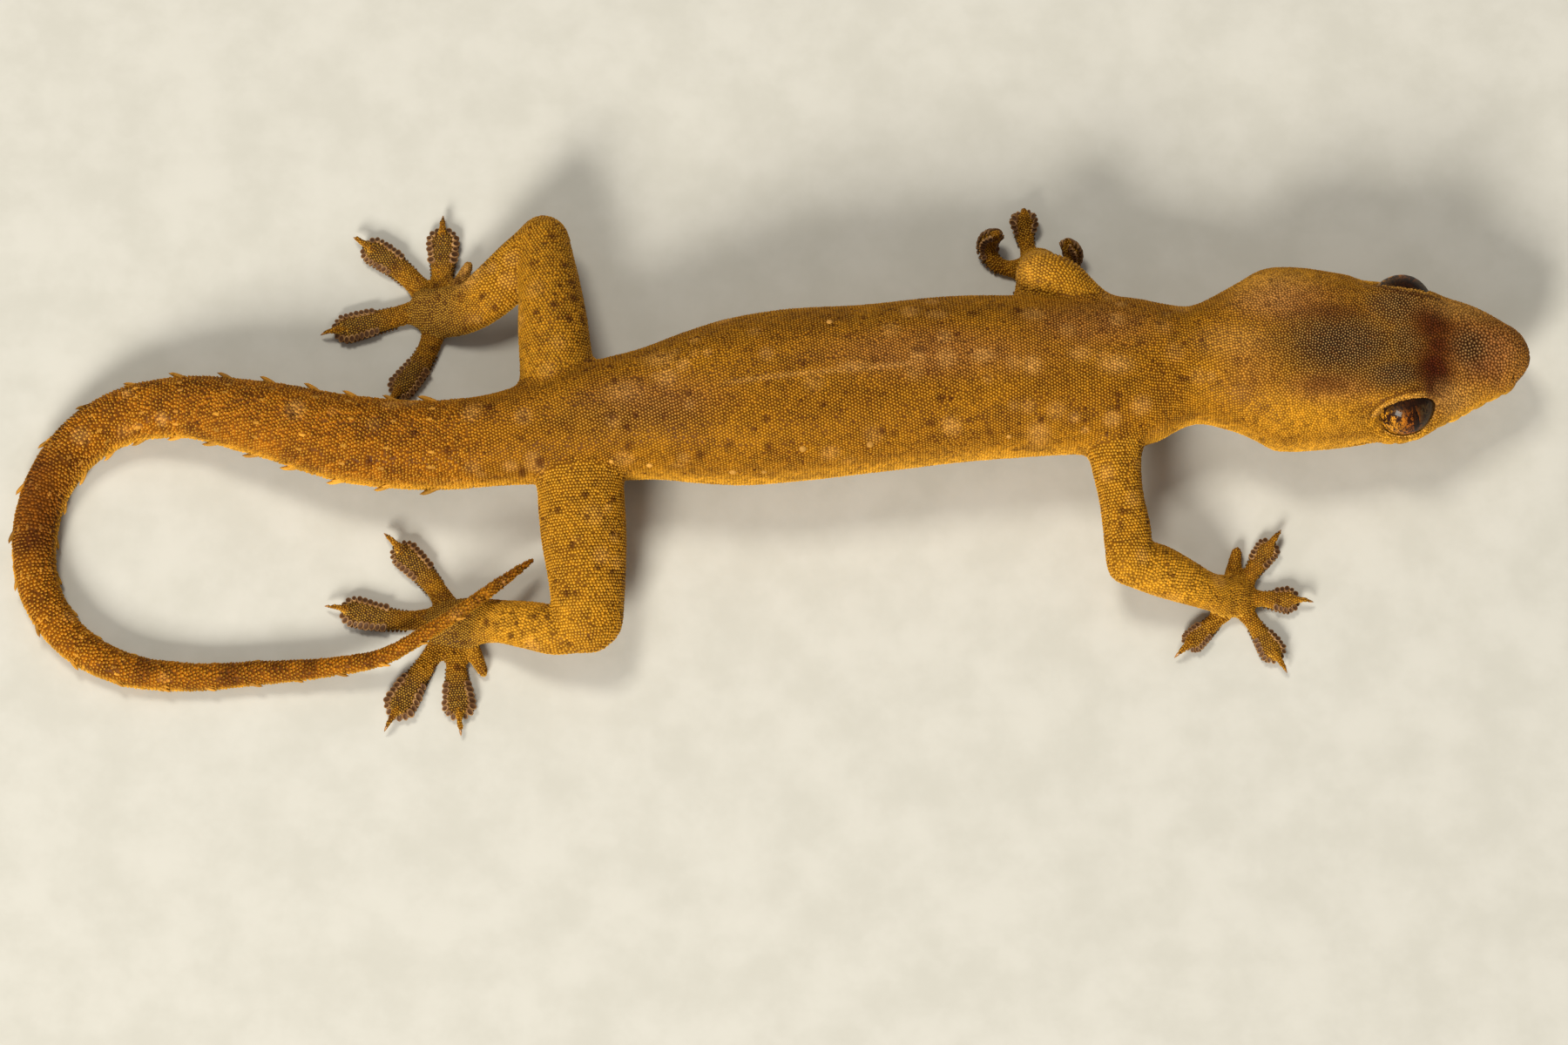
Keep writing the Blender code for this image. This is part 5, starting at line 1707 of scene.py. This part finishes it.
def makeEyeFinish():
    m = Maker("gecko_eye")
    local = m.add("ShaderNodeSeparateXYZ")
    m.join(m.field("eyeCoord"), local.inputs[0])
    front, up, out = local.outputs
    place = m.field("eyeCoord")
    stretch = m.add("ShaderNodeVectorMath", operation="MULTIPLY")
    m.join(place, stretch.inputs[0])
    stretch.inputs[1].default_value = (1.0, 0.45, 1.0)
    veins = m.noise(stretch.outputs[0], 9.0, 5.0, 0.75)
    fine = m.noise(stretch.outputs[0], 20.0, 3.0, 0.6, 9.0)
    gold = m.mix(m.step(front, -0.75, -0.05), tone(206, 140, 34), tone(140, 74, 14))
    color = m.mix(m.step(veins, 0.46, 0.54), tone(34, 12, 3), gold)
    color = m.mix(m.math("MULTIPLY", m.step(fine, 0.48, 0.58), 0.8), color, tone(44, 18, 5))
    speck = m.mix(m.step(fine, 0.42, 0.62), tone(22, 15, 8), tone(66, 50, 28))
    ahead = m.step(m.math("ADD", front, m.math("MULTIPLY", m.noise(place, 5.0, 2.0), 0.2)), 0.22, 0.4)
    color = m.mix(m.math("MULTIPLY", ahead, 0.92), color, speck)
    slit = m.math("ADD", m.math("ABSOLUTE", m.math("SUBTRACT", front, 0.1)), m.math("MULTIPLY", fine, 0.06))
    width = m.step(m.math("ABSOLUTE", up), 0.1, 0.75, 0.12, 0.03)
    color = m.mix(m.math("MULTIPLY", m.math("LESS_THAN", slit, width), 0.92), color, tone(14, 6, 4))
    # Painted shadow of the upper lid: a dark band across the top of the ball
    lid = m.math("ADD", up, m.math("MULTIPLY", m.noise(place, 4.0, 2.0, 0.5, 5.0), 0.2))
    color = m.mix(m.math("MULTIPLY", m.step(lid, 0.36, 0.62), 0.9), color, tone(26, 12, 6))
    # Darker away from the front of the ball: its own dark edge and painted shade under the lids
    color = m.mix(m.step(out, 0.36, 0.64, 1.0, 0.0), color, tone(22, 14, 8))
    m.set(color=color, rough=m.step(fine, 0.3, 0.7, 0.3, 0.45), shine=0.05, coat=0.12, coatRough=0.03)
    m.bump(veins, 0.1, 0.00003)
    return m.material


def makePlateFinish():
    m = Maker("toe_plate")
    place = m.field("rootPoint")
    grain = m.noise(place, 9.0, 3.0, 0.6)
    crest = m.field("crest", "Fac")
    rim = m.mix(m.step(m.noise(place, 2.0, 2.0), 0.35, 0.65), tone(116, 80, 44), tone(158, 120, 76))
    # Dark where crest is low and pale on the raised rims: the dark middles of the lobes are painted shade
    color = m.mix(m.step(crest, 0.15, 0.7), tone(76, 48, 26), rim)
    color = m.mix(m.math("MULTIPLY", m.step(grain, 0.5, 0.75), 0.4), color, tone(84, 56, 28))
    m.set(color=color, rough=m.step(grain, 0.3, 0.7, 0.46, 0.64), shine=0.2)
    m.bump(grain, 0.2, 0.00002)
    return m.material


def makeHorn():
    m = Maker("claw_horn")
    spot = m.add("ShaderNodeTexCoord").outputs["Object"]
    grain = m.noise(spot, 9000.0, 3.0, 0.6)
    color = m.mix(m.step(grain, 0.3, 0.7), tone(96, 58, 22), tone(176, 124, 62))
    m.set(color=color, rough=m.step(grain, 0.3, 0.7, 0.25, 0.4), shine=0.5)
    m.bump(grain, 0.12, 0.00002)
    return m.material


# Everything together

print("sections and skin")
surfaces = makeSurfaces()
skinPoints, skinTriangles = buildSkin(surfaces)
print("skin of", len(skinTriangles), "triangles")
skinPoints = shapeSkin(skinPoints, skinTriangles)
print("roots")
ground = groundOf(skinPoints, skinTriangles)
roots = markRoots(findRoots(surfaces, ground), surfaces)
coatFinish, plateFinish = makeHide("scale_coat", True), makePlateFinish()
lender = {"roots": roots, "tree": kdOf(roots["point"]), "finish": coatFinish}  # of marks and finish
buildBody(skinPoints, skinTriangles, lender, makeHide("skin_between_scales", False))
print("scales")
coatPieces(roots, surfaces, coatFinish)
print("lips, eyes, spines, toes and claws")
lipPlates(ground, lender)
eyeRims(lender)
tailSpines(ground, lender)
backBosses(ground, lender)
toePlates(surfaces, plateFinish)
padLobes(surfaces, plateFinish)
buildClaws(surfaces, makeHorn())
buildEyes(makeEyeFinish())


# Floor, light and camera

studio = {
    "floorHalf": 1.5, "floorGrain": 260.0,  # metres; scale of its noise, per metre
    "world": ((1.0, 0.965, 0.9, 1.0), 0.3),
    "lamps": {  # place, size, power, colour
        "key": ((-0.14, 0.24, 0.5), 0.16, 1.75, (1.0, 0.94, 0.8)),
        "side": ((-0.2, -0.52, 0.34), 0.22, 6.3, (1.0, 0.95, 0.83)),
    },
}
view = {"distance": 363.75, "tilt": math.radians(15), "lens": 150.0, "sensor": 36.0}


def addArea(name, place, size, power, color):
    light = bpy.data.lights.new(name, "AREA")
    light.size = size
    light.energy = power
    light.color = color
    lamp = addThing(name, light)
    lamp.location = place
    lamp.rotation_euler = (-Vector(place)).to_track_quat("-Z", "Y").to_euler()


def setStage():
    mesh = bpy.data.meshes.new("floor")
    half = studio["floorHalf"]
    corners = [(-half, -half, 0), (half, -half, 0), (half, half, 0), (-half, half, 0)]
    mesh.from_pydata(corners, [], [(0, 1, 2, 3)])
    floor = addThing("floor", mesh)
    m = Maker("pale_floor")
    grain = m.noise(m.add("ShaderNodeTexCoord").outputs["Object"], studio["floorGrain"], 4.0, 0.6)
    m.set(color=m.mix(m.step(grain, 0.3, 0.7), tone(186, 185, 180), tone(194, 193, 189)),
          rough=m.step(grain, 0.3, 0.7, 0.7, 0.85), shine=0.2)
    m.bump(grain, 0.1, 0.0002)
    mesh.materials.append(m.material)
    for name, values in studio["lamps"].items():
        addArea(name, *values)
    world = bpy.data.worlds.new("studio")
    world.use_nodes = True
    light = world.node_tree.nodes["Background"].inputs
    light["Color"].default_value, light["Strength"].default_value = studio["world"]
    bpy.context.scene.world = world
    bpy.context.scene.view_settings.view_transform = "Standard"


def setCamera():
    # looks down on the gecko from behind and above its right side, as in the photo
    lens = bpy.data.cameras.new("camera")
    lens.lens = view["lens"]
    lens.sensor_width = view["sensor"]
    lens.clip_start = 0.01
    lens.clip_end = 10
    camera = addThing("camera", lens)
    away = Vector((0, -math.sin(view["tilt"]), math.cos(view["tilt"]))) * view["distance"]
    camera.location = (away - Vector(gecko["middle"])) * gecko["unit"]
    camera.rotation_euler = (view["tilt"], 0, 0)
    bpy.context.scene.camera = camera


print("stage")
setStage()
setCamera()
